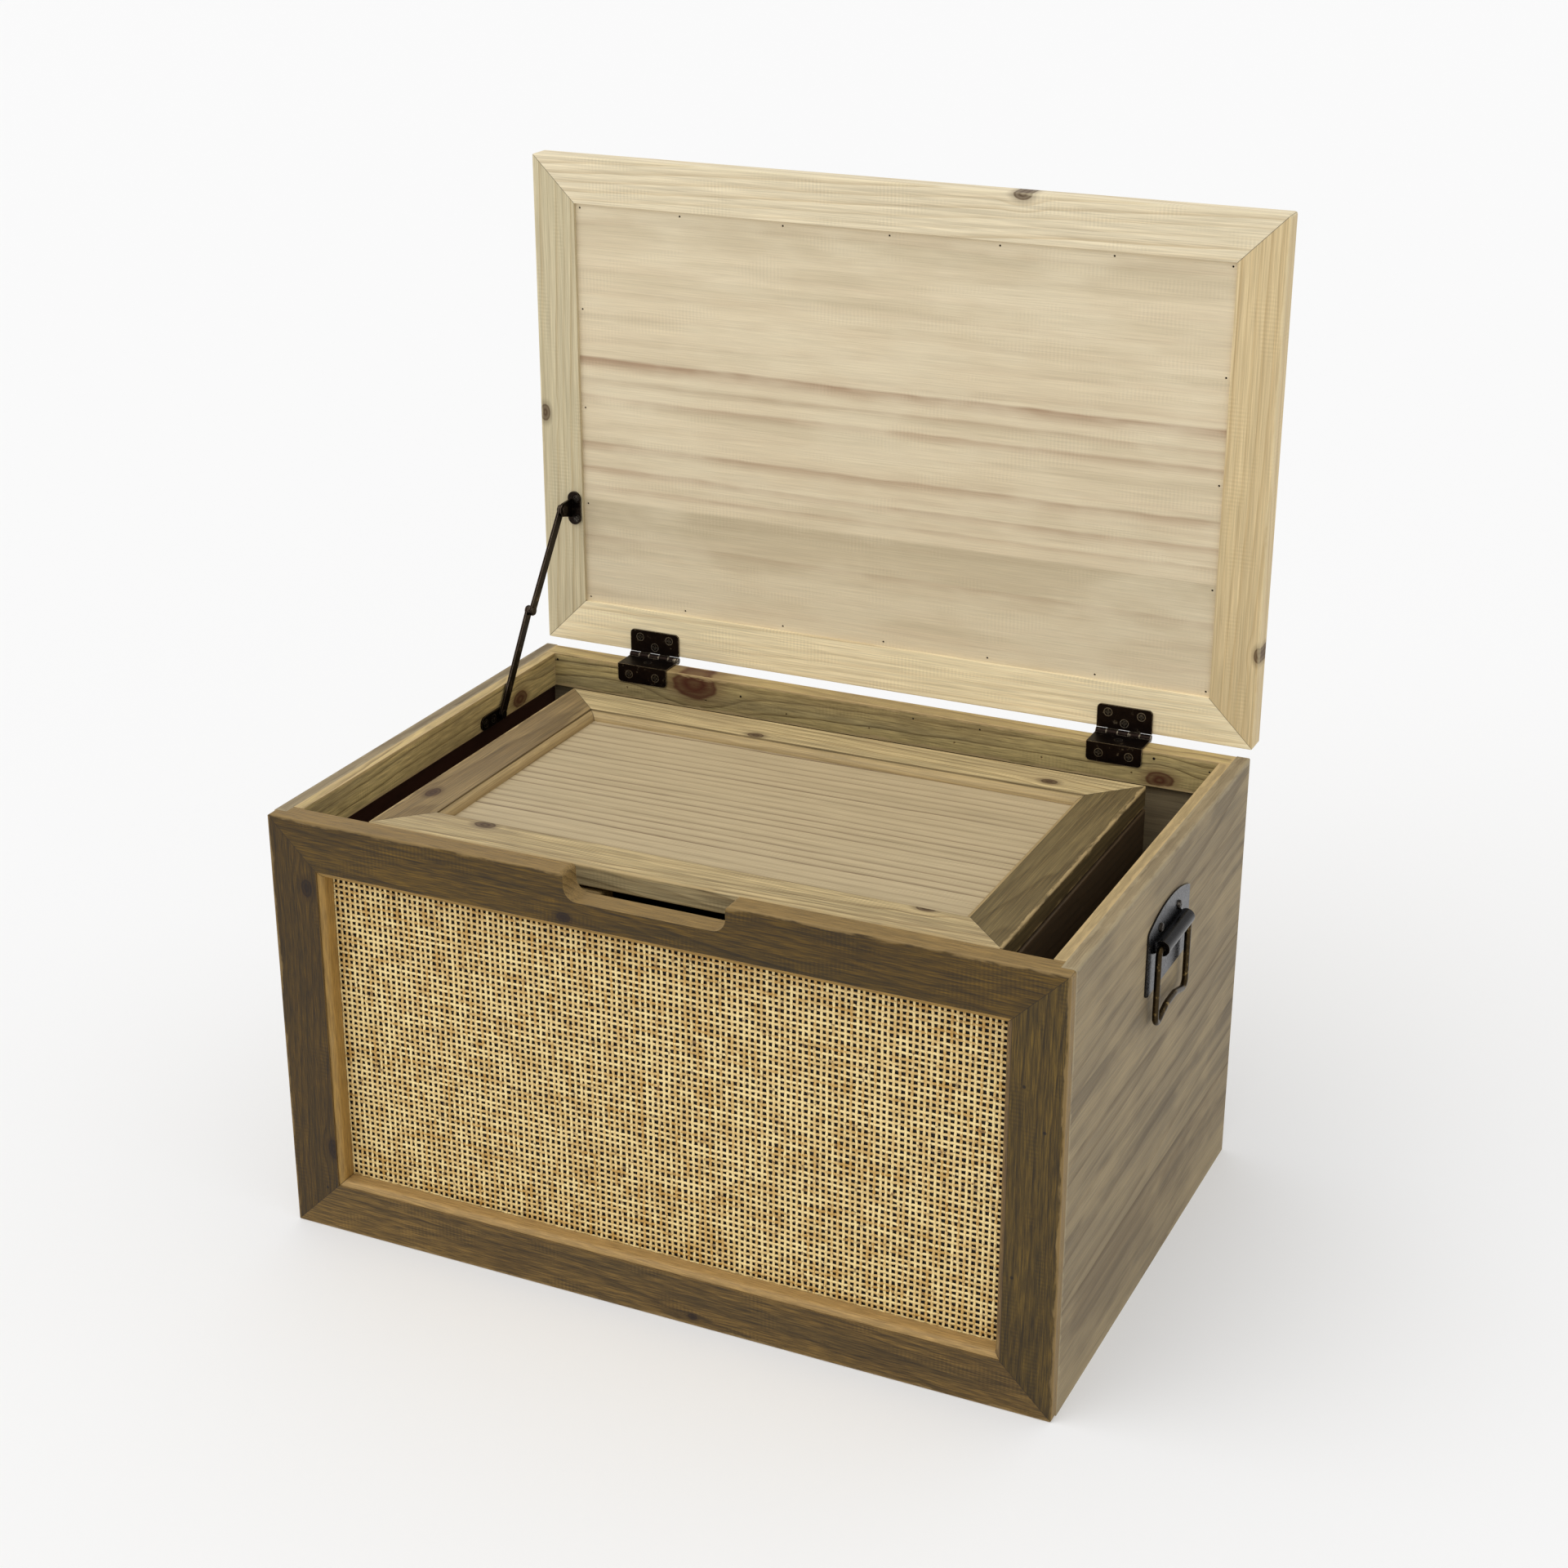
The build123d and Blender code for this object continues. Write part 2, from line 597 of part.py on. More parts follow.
def outer_carcass():
    """The big chest without its lid, stay or handles."""
    chest = OUTER
    rim = chest.height
    cleat_low = rim - CLEAT_HEIGHT
    floor = chest.floor_low + BOTTOM
    names = ("front_bottom_rail", "front_top_rail", "front_left_stile", "front_right_stile")
    for name, member in zip(names, front_frame(chest)):
        save(name, member)
    cane, backing = cane_sheets(chest)
    save("cane_panel", cane)
    save("cane_backing", backing)

    plate_screws = place(dome_screw(), handle_screw_spots())
    slots = place(cross_slot(DOME_HEIGHT), handle_screw_spots())
    plate = handle_plate() - plate_screws
    bail = handle_bail()
    right_board = side_board(chest, 1) - plate_screws
    save("right_side_board", right_board)
    save("left_side_board", mirror(right_board, Plane.YZ))
    save("right_handle_plate", plate)
    save("left_handle_plate", mirror(plate, Plane.YZ))
    save("right_handle_bail", bail)
    save("left_handle_bail", mirror(bail, Plane.YZ))
    right_screws = [screw - slots for screw in plate_screws]
    left_screws = [mirror(screw, Plane.YZ) for screw in right_screws]
    save("handle_screws", Compound(right_screws + left_screws))

    linings = [side_strip(chest, side, LINING, floor, cleat_low) for side in (-1, 1)]
    save("side_linings", Compound(linings))
    feet = [side_strip(chest, side, FOOT_CLEAT, 0, chest.floor_low) for side in (-1, 1)]
    save("bottom_cleats", Compound(feet))
    save("bottom_panel", bottom_panel(chest))
    cleat = chest.wall - chest.board
    save("right_cleat", side_strip(chest, 1, cleat, cleat_low, rim) - corner_rail(chest))
    left_cleat = side_strip(chest, -1, cleat, cleat_low, rim) - corner_rail(chest)

    spots = [leftwards(wall_bracket_face(), y, WALL_PIVOT[1]) for y in WALL_SCREWS]
    screws = place(sunk_screw(SHORT_SCREW), spots)
    rivet = wall_rivet()
    save("left_cleat", left_cleat - screws)
    save("stay_wall_bracket", wall_bracket() - screws - rivet)
    save("stay_wall_rivet", rivet)
    slots = place(cross_slot(0), spots)
    save("stay_wall_screws", Compound([screw - slots for screw in screws]))

    rail, board = back_parts(chest, CLEAT_HEIGHT)
    save("back_board", board)
    leaf_screws, leaf_slots = [], []
    for name, side in (("left", -1), ("right", 1)):
        spots = lower_leaf_screws(chest, side * chest.hinge_x)
        screws = place(sunk_screw(), spots)
        save(f"{name}_hinge_lower_leaf", lower_leaf(chest, side * chest.hinge_x) - screws)
        leaf_screws += screws
        leaf_slots += place(cross_slot(0), spots)
    holes = rail_holes(chest, rim - RAIL_HOLE_DROP)
    save("back_rail", rail - leaf_screws - holes)
    save("hinge_lower_screws", Compound([s - leaf_slots for s in leaf_screws]))
    pins = [hinge_pin(chest, side * chest.hinge_x, 0) for side in (-1, 1)]
    save("hinge_pins", Compound(pins))


def wall_bracket_face():
    """X of the wall bracket's outer face."""
    return OUTER.wall - OUTER.width / 2 + STAY_PLATE


def corner_rail(chest):
    """The space of the back rail, which the side cleats stop against."""
    half = chest.width / 2
    low = (-half, chest.depth - chest.wall, chest.height - CLEAT_HEIGHT)
    return span(low, (half, chest.depth, chest.height))


def outer_lid():
    """The big lid, open, with its panel, nails, hinge leaves and stay bracket."""
    chest = OUTER
    members, panel = lid_frame(chest)
    front, back, left, right = [swing_open(chest, m) for m in members]
    nails, holes = panel_nails(chest)
    nails = [swing_open(chest, n) for n in nails]
    holes = [swing_open(chest, h) for h in holes]

    leaf_screws, leaf_slots = [], []
    for name, side in (("left", -1), ("right", 1)):
        spots = upper_leaf_screws(chest, side * chest.hinge_x)
        screws = place(sunk_screw(), spots)
        leaf = upper_leaf(chest, side * chest.hinge_x) - screws
        save(f"{name}_hinge_upper_leaf", swing_open(chest, leaf))
        leaf_screws += [swing_open(chest, s) for s in screws]
        leaf_slots += [swing_open(chest, s) for s in place(cross_slot(0), spots)]
    save("hinge_upper_screws", Compound([s - leaf_slots for s in leaf_screws]))

    face = OPEN_DEPTH - chest.lid
    heights = [BRACKET_Z + s * BRACKET_SCREWS / 2 for s in (-1, 1)]
    spots = [backwards(BRACKET_SCREW_X, face - EAR, z) for z in heights]
    screws = place(dome_screw(), spots)
    slots = place(cross_slot(DOME_HEIGHT), spots)
    save("stay_lid_screws", Compound([screw - slots for screw in screws]))
    rivet = lid_rivet()
    save("stay_lid_rivet", rivet)
    save("stay_lid_bracket", lid_bracket() - screws - rivet)

    save("lid_front_rail", front - holes)
    save("lid_back_rail", back - holes - leaf_screws)
    save("lid_left_stile", left - holes - screws)
    save("lid_right_stile", right - holes)
    save("lid_panel", swing_open(chest, panel) - holes)
    save("lid_panel_nails", Compound(nails))


def stay_links():
    """The two folding links and the knee rivet."""
    save("stay_lower_link", link(LOWER_LINK_X, WALL_PIVOT, knee()))
    save("stay_knee_rivet", knee_rivet())
    save("stay_upper_link", upper_link())


def nested_chest():
    """The small chest that stands inside, closed."""
    chest = NESTED
    put = Pos(NESTED_X, NESTED_Y, OUTER.floor_low + BOTTOM + NESTED_GAP)
    names = ("front_bottom_rail", "front_top_rail", "front_left_stile", "front_right_stile")
    for name, member in zip(names, front_frame(chest)):
        save(f"nested_{name}", put * member)
    cane, backing = cane_sheets(chest)
    save("nested_cane_panel", put * cane)
    save("nested_cane_backing", put * backing)
    for name, side in (("left", -1), ("right", 1)):
        save(f"nested_{name}_side_board", put * side_board(chest, side))
    half = chest.width / 2 - chest.board
    back = span((-half, chest.depth - chest.wall, 0), (half, chest.depth, chest.height))
    save("nested_back_board", put * back)
    save("nested_bottom_panel", put * bottom_panel(chest))

    members, panel = lid_frame(chest)
    names = ("lid_front_rail", "lid_back_rail", "lid_left_stile", "lid_right_stile")
    for name, member in zip(names, members):
        save(f"nested_{name}", put * member)
    save("nested_lid_panel", put * panel)
    places = (-chest.hinge_x, chest.hinge_x)
    for name, make in (("lower", lower_leaf), ("upper", upper_leaf)):
        leaves = [put * make(chest, x) for x in places]
        save(f"nested_hinge_{name}_leaves", Compound(leaves))
    pins = [put * hinge_pin(chest, x, 0) for x in places]
    save("nested_hinge_pins", Compound(pins))


os.makedirs("parts", exist_ok=True)
outer_carcass()
outer_lid()
stay_links()
nested_chest()
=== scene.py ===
"""Wooden storage chest with a cane front, an open lid and a smaller chest nested inside it.

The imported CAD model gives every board, hinge and handle its shape and place. This add-on weaves the cane,
drives the pin nails, finishes the timber and the metal, and sets the studio stage around the chest.
"""

import math

import bpy
from mathutils import Matrix, Vector


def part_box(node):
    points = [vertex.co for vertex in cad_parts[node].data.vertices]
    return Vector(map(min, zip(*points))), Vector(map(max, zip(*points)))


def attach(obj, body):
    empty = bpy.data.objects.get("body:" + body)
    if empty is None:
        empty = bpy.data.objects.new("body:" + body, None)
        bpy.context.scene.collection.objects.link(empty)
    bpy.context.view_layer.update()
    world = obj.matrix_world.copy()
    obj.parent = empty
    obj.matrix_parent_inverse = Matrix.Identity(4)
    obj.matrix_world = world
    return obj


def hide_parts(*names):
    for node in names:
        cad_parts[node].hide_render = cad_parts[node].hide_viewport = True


bl_info = {
    "name": "Nested cane chest",
    "version": (1, 0, 0),
    "blender": (4, 5, 0),
    "location": "View3D > Sidebar > Chest",
    "description": "Weaves the cane, nails the boards and finishes the timber and metal of a nested storage chest",
    "category": "Object",
}

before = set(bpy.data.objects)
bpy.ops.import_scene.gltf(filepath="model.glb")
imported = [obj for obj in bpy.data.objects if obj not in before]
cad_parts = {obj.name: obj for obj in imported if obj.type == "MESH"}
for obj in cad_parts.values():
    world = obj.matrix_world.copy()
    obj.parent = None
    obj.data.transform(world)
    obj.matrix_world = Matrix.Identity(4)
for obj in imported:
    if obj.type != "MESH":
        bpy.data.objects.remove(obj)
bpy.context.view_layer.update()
MM = 0.001


def linear(code):
    """An sRGB hex colour as linear red, green and blue."""
    channels = [int(code[i:i + 2], 16) / 255 for i in (1, 3, 5)]
    return tuple(c / 12.92 if c <= 0.04045 else ((c + 0.055) / 1.055) ** 2.4 for c in channels)


def paint(code):
    """An sRGB hex colour as a value for a colour socket."""
    return (*linear(code), 1.0)


def add(tree, kind, *inputs, **settings):
    """A node with its settings, its inputs linked or set in order, and its first output given back."""
    node = tree.nodes.new(kind)
    for name, value in settings.items():
        setattr(node, name, value)
    for socket, value in zip([s for s in node.inputs if s.enabled], inputs):
        if isinstance(value, bpy.types.NodeSocket):
            tree.links.new(value, socket)
        elif value is not None:
            socket.default_value = value
    return next((s for s in node.outputs if s.enabled), None)


def new_material(name):
    """A material of that name with an empty node tree."""
    material = bpy.data.materials.new(name)
    material.use_nodes = True
    material.node_tree.nodes.clear()
    return material


def close_material(tree, shader, height=None):
    """Links the shader to the output, with a bump from a height in millimetres."""
    if height is not None:
        bump = add(tree, "ShaderNodeBump").node
        bump.inputs["Strength"].default_value = 1.0
        bump.inputs["Distance"].default_value = MM
        tree.links.new(height, bump.inputs["Height"])
        tree.links.new(bump.outputs["Normal"], shader.inputs["Normal"])
    output = tree.nodes.new("ShaderNodeOutputMaterial")
    tree.links.new(shader.outputs["BSDF"], output.inputs["Surface"])


# Timber: each look is one wood as it was sawn, stained and rubbed.
# Colours: early and late are the soft and hard growth rings, streak the long grey mineral streaks, stain the broad
# patches of wiped-on stain, worn the rubbed arrises and sawn ends, bead the inner moulding of a frame member and
# knot a knot's heart. tone multiplies the first four, so that boards of one wood differ.
# Millimetres: ring is the growth-ring spacing, pith the heart's place across and behind the board, wander and waver
# how far the rings stray slowly and quickly, fleck how long the fibres are, edge how far the rubbing of an arris
# strays, and bands the broad dark rings, each by its place across and the widths over which it comes and goes, and
# then its strength and its colour's name.
# Shares: slope is the heart's lean along the board, which closes the rings into arches, depth how dark the late
# rings are, streaks, stains, chatter and wear how strongly each of those shows, fibre how strongly the fibres
# show, edge_rub_and_light how much a board's edge faces are lightened, partly for rubbing and partly as painted
# light on the faces that turn up, and rough the roughness. sharp is how thin the dark rings are.

AS_SAWN = (1.0, 1.0, 1.0)
PLAIN = dict(tone=AS_SAWN, wander=10.0, waver=1.0, fibre=0.24, fleck=48.0, sharp=2.6, edge_rub_and_light=0.0, bands=())
TONED = ("early", "late", "streak", "stain")
COLOURS = (*TONED, "worn", "bead", "knot")

# Pine under a thin brown stain, handled for years: dull and dark, with the grain still showing through.
WEATHERED_PINE = dict(
    PLAIN,
    early="#8a7148", late="#3c2e1b", streak="#4f4330", stain="#5c4828", worn="#957a4b", bead="#a88445",
    knot="#1c0c04", ring=4.6, pith=(6, -34), slope=0.045, depth=0.6, streaks=0.55, stains=0.5,
    chatter=0.8, wear=0.6, edge=1.6, rough=0.56, wander=8.0, waver=1.2, fibre=0.40, fleck=15.0, edge_rub_and_light=0.7,
)
# The same pine inside the chest, where less stain was wiped on: greenish tan, with red-brown knots.
OLIVE_PINE = dict(
    WEATHERED_PINE, early="#968357", late="#4f3f22", streak="#6b6048", stain="#6d5c3c", worn="#c0a677",
    bead="#b49a68", knot="#471402", ring=4.0, pith=(70, -30), slope=0.03, depth=0.95, chatter=0.3, wear=0.8,
    sharp=3.2, edge_rub_and_light=0.3,
)
# A lighter, plainer piece of it, for the right rim.
RIM_PINE = dict(OLIVE_PINE, early="#a28d64", late="#75603e", streak="#7c6f52", stain="#84714b", depth=0.5)
# Clean planed pine with no stain: cream, with soft straw-coloured rings.
PALE_PINE = dict(
    PLAIN,
    early="#dccca6", late="#b59c70", streak="#c3b491", stain="#cfc09a", worn="#e6d8b2", bead="#dccba2",
    knot="#4a3015", ring=5.5, pith=(150, 24), slope=0.03, depth=0.6, streaks=0.45, stains=0.4,
    chatter=0.3, wear=0.3, edge=1.4, rough=0.6, wander=7.0, waver=0.7, fibre=0.11,
)
# Light, open-grained boards under a grey-brown wash: matt, with wide rings and dark drifting bands.
WASHED_PAULOWNIA = dict(
    PLAIN,
    early="#968a70", late="#5b4a34", streak="#51473a", stain="#aa9c7d", worn="#ab9c7c", bead="#ab9c7c",
    knot="#5a4631", ring=13.0, pith=(190, 60), slope=0.06, depth=0.45, streaks=0.42, stains=0.6,
    chatter=0.15, wear=0.5, edge=2.2, rough=0.66, wander=12.0, waver=1.0, fibre=0.27,
    bands=(
        (104, 1.0, 7, 0.35, "late"), (62, 1.0, 16, 0.45, "streak"), (22, 0.6, 5, 0.55, "late"),
        (-28, 2.0, 16, 0.4, "streak"), (-74, 0.6, 4, 0.7, "late"), (-84, 14, 50, 0.4, "late"),
    ),
)
# The same boards unstained, as a thin panel: pale buff, with a few crisp brown lines.
PANEL_PAULOWNIA = dict(
    PLAIN,
    early="#e0d0b0", late="#a38468", streak="#b0a283", stain="#e6d9bb", worn="#cdbb9c", bead="#cdbb9c",
    knot="#7c6146", ring=15.0, pith=(420, 60), slope=0.02, depth=0.18, streaks=0.3, stains=0.5,
    chatter=0.2, wear=0.0, edge=1.0, rough=0.66, wander=9.0, waver=1.6, fibre=0.10,
    bands=(
        (126, 20, 16, 0.35, "streak"), (96, 3, 14, 0.22, "streak"), (35, 1.6, 9, 0.85, "late"),
        (21, 1.5, 5, 0.4, "late"), (9, 1.5, 6, 0.5, "late"), (-24, 1.5, 7, 0.6, "late"), (-42, 1.5, 6, 0.55, "late"),
        (-55, 1.5, 4, 0.35, "late"), (-66, 2.0, 60, 0.5, "streak"), (-92, 1.5, 5, 0.3, "late"),
    ),
)
# Pine under a tan stain: warmer and lighter than the outer frame, rubbed pale along its edges.
NESTED_FRAME = dict(
    PLAIN,
    early="#b6a274", late="#6b5531", streak="#837554", stain="#937f5b", worn="#b9a070", bead="#ab9367",
    knot="#3a1f0a", ring=4.5, pith=(10, -40), slope=0.04, depth=0.6, streaks=0.4, stains=0.4,
    chatter=0.3, wear=0.8, edge=1.8, rough=0.56, wander=7.0, waver=1.0, fibre=0.27,
)
# A straight-grained panel: tan, ruled with thin dark brown rings.
NESTED_PANEL = dict(
    PLAIN,
    early="#c4af84", late="#55361b", streak="#9c8963", stain="#c2ae84", worn="#b5a17c", bead="#b5a17c",
    knot="#5a3b2a", ring=8.5, pith=(260, 30), slope=0.01, sharp=5.0, depth=1.0, streaks=0.3, stains=0.3,
    chatter=0.15, wear=0.0, edge=1.0, rough=0.6, wander=5.0, waver=0.8, fibre=0.2,
)
# Inner skins coloured almost to mahogany, with little grain left to see.
DARK_LINING = dict(
    PLAIN,
    early="#3b1f14", late="#24120c", streak="#2c1a12", stain="#45261a", worn="#5a3524", bead="#5a3524",
    knot="#180b07", ring=6.0, pith=(60, 30), slope=0.04, depth=0.5, streaks=0.4, stains=0.4,
    chatter=0.1, wear=0.3, edge=1.2, rough=0.6,
)
# Plain hidden boards under one coat of brown stain.
STAINED_BOARD = dict(
    DARK_LINING, early="#5b4a34", late="#3d3022", streak="#4a3f30", stain="#554430", worn="#7b6546",
    bead="#7b6546",
)
# A board painted near black as painted shade behind the cane, so that the cane's holes look deep.
SHADE_BLACK_BACKING = dict(
    DARK_LINING, early="#120e0a", late="#0b0806", streak="#0e0b08", stain="#14100b", worn="#171310",
    bead="#171310",
)

AXES = "XYZ"

# How large each kind of variation is along, across and deep, in millimetres.
WANDER_SIZE = (260, 70, 70)
WAVER_SIZE = (34, 8, 8)
STREAK_SIZE = (230, 11, 11)
PATCH_SIZE = (95, 38, 38)
SAW_PATCH_SIZE = (45, 16, 16)
RUB_SIZE = (22, 5, 5)
FIBRE_WIDTH = 0.8
SAW_PITCH = 2.6

# Relief of the timber's surface, in millimetres.
RING_GROOVE = 0.05
SEAM_DEPTH = 0.3
FIBRE_HEIGHT = 0.14
SAW_HEIGHT = 0.035

SEED_SHIFT = (613.0, 171.0, 97.0)
KNOT_STRETCH = 0.62
KNOT_REACH = 3.6
RING_GAIN = 1.7
# A dark for the painted shade in a moulding's step and for the mitre seams.
SHADE_AND_SEAM_DARK = "#1d140c"
PIN_BLACK = "#17110c"
SMOOTH = dict(interpolation_type="SMOOTHSTEP")


def board_axes(node, along=None):
    """The board's centre and half size in millimetres, and its axes in order: along, across, deep."""
    low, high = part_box(node)
    half = (high - low) / 2 / MM
    order = sorted(range(3), key=lambda i: -half[i])
    if along is not None:
        order.remove(AXES.index(along))
        order.insert(0, AXES.index(along))
    return (low + high) / 2 / MM, half, order


def knot_pull(tree, grain, across, spots):
    """Bends the grain round each knot. Gives the bent across place and the distances to the knots in radii."""
    distances = []
    for spot_along, spot_across, radius in spots:
        away = add(tree, "ShaderNodeVectorMath", grain, (spot_along, spot_across, 0), operation="SUBTRACT")
        away = add(tree, "ShaderNodeVectorMath", away, (KNOT_STRETCH / radius, 1 / radius, 0), operation="MULTIPLY")
        distance = add(tree, "ShaderNodeVectorMath", away, operation="LENGTH").node.outputs["Value"]
        pull = add(tree, "ShaderNodeMapRange", distance, 0.2, KNOT_REACH, 0.92, 0.0, **SMOOTH)
        from_knot = add(tree, "ShaderNodeMath", across, spot_across, operation="SUBTRACT")
        shift = add(tree, "ShaderNodeMath", from_knot, pull, operation="MULTIPLY")
        across = add(tree, "ShaderNodeMath", across, shift, operation="SUBTRACT")
        distances.append(distance)
    return across, distances


def tinted(code, tone):
    """An sRGB hex colour under a board's own tone, as a value for a colour socket."""
    return (*[min(c * t, 1.0) for c, t in zip(linear(code), tone)], 1.0)


def noise(tree, place, scale, detail=2.0, roughness=0.55):
    """Soft noise from 0 to 1, its scale given in millimetres along, across and deep."""
    stretched = add(tree, "ShaderNodeVectorMath", place, [1 / s for s in scale], operation="MULTIPLY")
    return add(tree, "ShaderNodeTexNoise", stretched, 1.0, detail, roughness)


def timber(name, node, look, seed, spots=(), along=None, outer=0, member=0.0, bead=0.0, pins=()):
    """A board's own material. outer is the side, -1 or 1, of a frame member's outer edge, member its width and
    bead the width of its inner moulding. spots are knots and pins nail heads, each by its place along and across
    and its radius."""
    toned = {key: tinted(look[key], look["tone"] if key in TONED else PLAIN["tone"]) for key in COLOURS}
    centre, half, order = board_axes(node, along)
    material = new_material(name)
    tree = material.node_tree

    # The board's own place, in millimetres from its centre, turned so that x runs along the grain.
    where = add(tree, "ShaderNodeTexCoord").node.outputs["Object"]
    where = add(tree, "ShaderNodeVectorMath", where, (1 / MM,) * 3, tuple(-centre), operation="MULTIPLY_ADD")
    parts = add(tree, "ShaderNodeSeparateXYZ", where).node.outputs
    lengthwise, across, deep = (parts[i] for i in order)
    grain = add(tree, "ShaderNodeCombineXYZ", lengthwise, across, deep)
    seeded = add(tree, "ShaderNodeVectorMath", grain, [seed * shift for shift in SEED_SHIFT], operation="ADD")

    # Growth rings round the heart of the log, wandering a little, and pushed aside by knots.
    wander = noise(tree, seeded, WANDER_SIZE, 1.0)
    wander = add(tree, "ShaderNodeMapRange", wander, 0.0, 1.0, -look["wander"], look["wander"])
    waver = noise(tree, seeded, WAVER_SIZE, 2.0)
    waver = add(tree, "ShaderNodeMapRange", waver, 0.0, 1.0, -look["waver"], look["waver"])
    bent, distances = knot_pull(tree, grain, across, spots)
    from_heart = add(tree, "ShaderNodeCombineXYZ", bent, deep, 0.0)
    pith = (-look["pith"][0], -look["pith"][1], 0)
    from_heart = add(tree, "ShaderNodeVectorMath", from_heart, pith, operation="ADD")
    radius = add(tree, "ShaderNodeVectorMath", from_heart, operation="LENGTH").node.outputs["Value"]
    radius = add(tree, "ShaderNodeMath", lengthwise, look["slope"], radius, operation="MULTIPLY_ADD")
    radius = add(tree, "ShaderNodeMath", radius, wander, operation="ADD")
    radius = add(tree, "ShaderNodeMath", radius, waver, operation="ADD")
    count = add(tree, "ShaderNodeMath", radius, look["ring"], operation="DIVIDE")
    share = add(tree, "ShaderNodeMath", count, operation="FRACT")
    which = add(tree, "ShaderNodeMath", count, operation="FLOOR")
    own = add(tree, "ShaderNodeTexWhiteNoise", which, noise_dimensions="1D").node.outputs["Value"]
    own = add(tree, "ShaderNodeMapRange", own, 0.0, 1.0, 0.25, 1.0)
    late = add(tree, "ShaderNodeMath", share, look["sharp"], operation="POWER")
    fade = add(tree, "ShaderNodeMapRange", share, 0.86, 1.0, 1.0, 0.0, **SMOOTH)
    late = add(tree, "ShaderNodeMath", late, fade, operation="MULTIPLY")
    late = add(tree, "ShaderNodeMath", late, own, operation="MULTIPLY")
    ring = add(tree, "ShaderNodeMath", late, look["depth"] * RING_GAIN, operation="MULTIPLY", use_clamp=True)
    colour = add(tree, "ShaderNodeMix", ring, toned["early"], toned["late"], data_type="RGBA")

    # Broad dark rings in their own places, straying with the others.
    strayed = add(tree, "ShaderNodeMath", wander, 0.4, across, operation="MULTIPLY_ADD")
    strayed = add(tree, "ShaderNodeMath", waver, 0.6, strayed, operation="MULTIPLY_ADD")
    for place, comes, goes, strength, key in look["bands"]:
        into = add(tree, "ShaderNodeMath", place, strayed, operation="SUBTRACT")
        band = add(tree, "ShaderNodeMapRange", into, -comes, 0.0, 0.0, strength)
        fall = add(tree, "ShaderNodeMapRange", into, 0.0, goes, 1.0, 0.0)
        band = add(tree, "ShaderNodeMath", band, fall, operation="MULTIPLY")
        colour = add(tree, "ShaderNodeMix", band, colour, toned[key], data_type="RGBA")

    # Long mineral streaks and broad patches where the stain took unevenly.
    streak = noise(tree, seeded, STREAK_SIZE, 3.0, 0.6)
    streak = add(tree, "ShaderNodeMapRange", streak, 0.45, 0.72, 0.0, look["streaks"], **SMOOTH)
    colour = add(tree, "ShaderNodeMix", streak, colour, toned["streak"], data_type="RGBA")
    patch = noise(tree, seeded, PATCH_SIZE, 3.0, 0.6)
    patch = add(tree, "ShaderNodeMapRange", patch, 0.42, 0.66, 0.0, look["stains"], **SMOOTH)
    colour = add(tree, "ShaderNodeMix", patch, colour, toned["stain"], data_type="RGBA")

    # Fine fibres, just under a millimetre apart so that they show, light and dark.
    fibre = noise(tree, seeded, (look["fleck"], FIBRE_WIDTH, FIBRE_WIDTH), 3.0, 0.65)
    lights = add(tree, "ShaderNodeMapRange", fibre, 0.28, 0.72, 1 - look["fibre"], 1 + look["fibre"])
    colour = add(tree, "ShaderNodeVectorMath", colour, lights, operation="SCALE")

    # The saw left faint ripples across the grain, in patches.
    ripple = add(tree, "ShaderNodeMath", lengthwise, math.tau / SAW_PITCH, waver, operation="MULTIPLY_ADD")
    ripple = add(tree, "ShaderNodeMath", ripple, operation="SINE")
    sawn = noise(tree, seeded, SAW_PATCH_SIZE, 2.0)
    sawn = add(tree, "ShaderNodeMapRange", sawn, 0.5, 0.66, 0.0, look["chatter"], **SMOOTH)
    ripple = add(tree, "ShaderNodeMath", ripple, sawn, operation="MULTIPLY")
    shade = add(tree, "ShaderNodeMapRange", ripple, -1.0, 1.0, 0.84, 1.16)
    colour = add(tree, "ShaderNodeVectorMath", colour, shade, operation="SCALE")

    # Sawn across, the wood is rubbed pale between its rings. The way a face looks is taken in the board's own
    # space, so that it turns with a moving board.
    facing = add(tree, "ShaderNodeNewGeometry").node.outputs["Normal"]
    facing = add(tree, "ShaderNodeVectorTransform", facing,
                 vector_type="NORMAL", convert_from="WORLD", convert_to="OBJECT")
    facing = add(tree, "ShaderNodeVectorMath", facing, operation="ABSOLUTE")
    facing = add(tree, "ShaderNodeSeparateXYZ", facing).node.outputs
    sawn_end = add(tree, "ShaderNodeMapRange", facing[order[0]], 0.35, 0.7, 0.0, 0.75)
    unringed = add(tree, "ShaderNodeMath", 1.0, ring, operation="SUBTRACT")
    sawn_end = add(tree, "ShaderNodeMath", sawn_end, unringed, operation="MULTIPLY")
    colour = add(tree, "ShaderNodeMix", sawn_end, colour, toned["worn"], data_type="RGBA")

    # The edge faces are lightened, partly by hands' rubbing and partly as painted light on the upward faces.
    edge_rub_and_light_mask = add(tree, "ShaderNodeMapRange", facing[order[1]], 0.5, 0.9, 0.0, look["edge_rub_and_light"])
    colour = add(tree, "ShaderNodeMix", edge_rub_and_light_mask, colour, toned["worn"], data_type="RGBA")

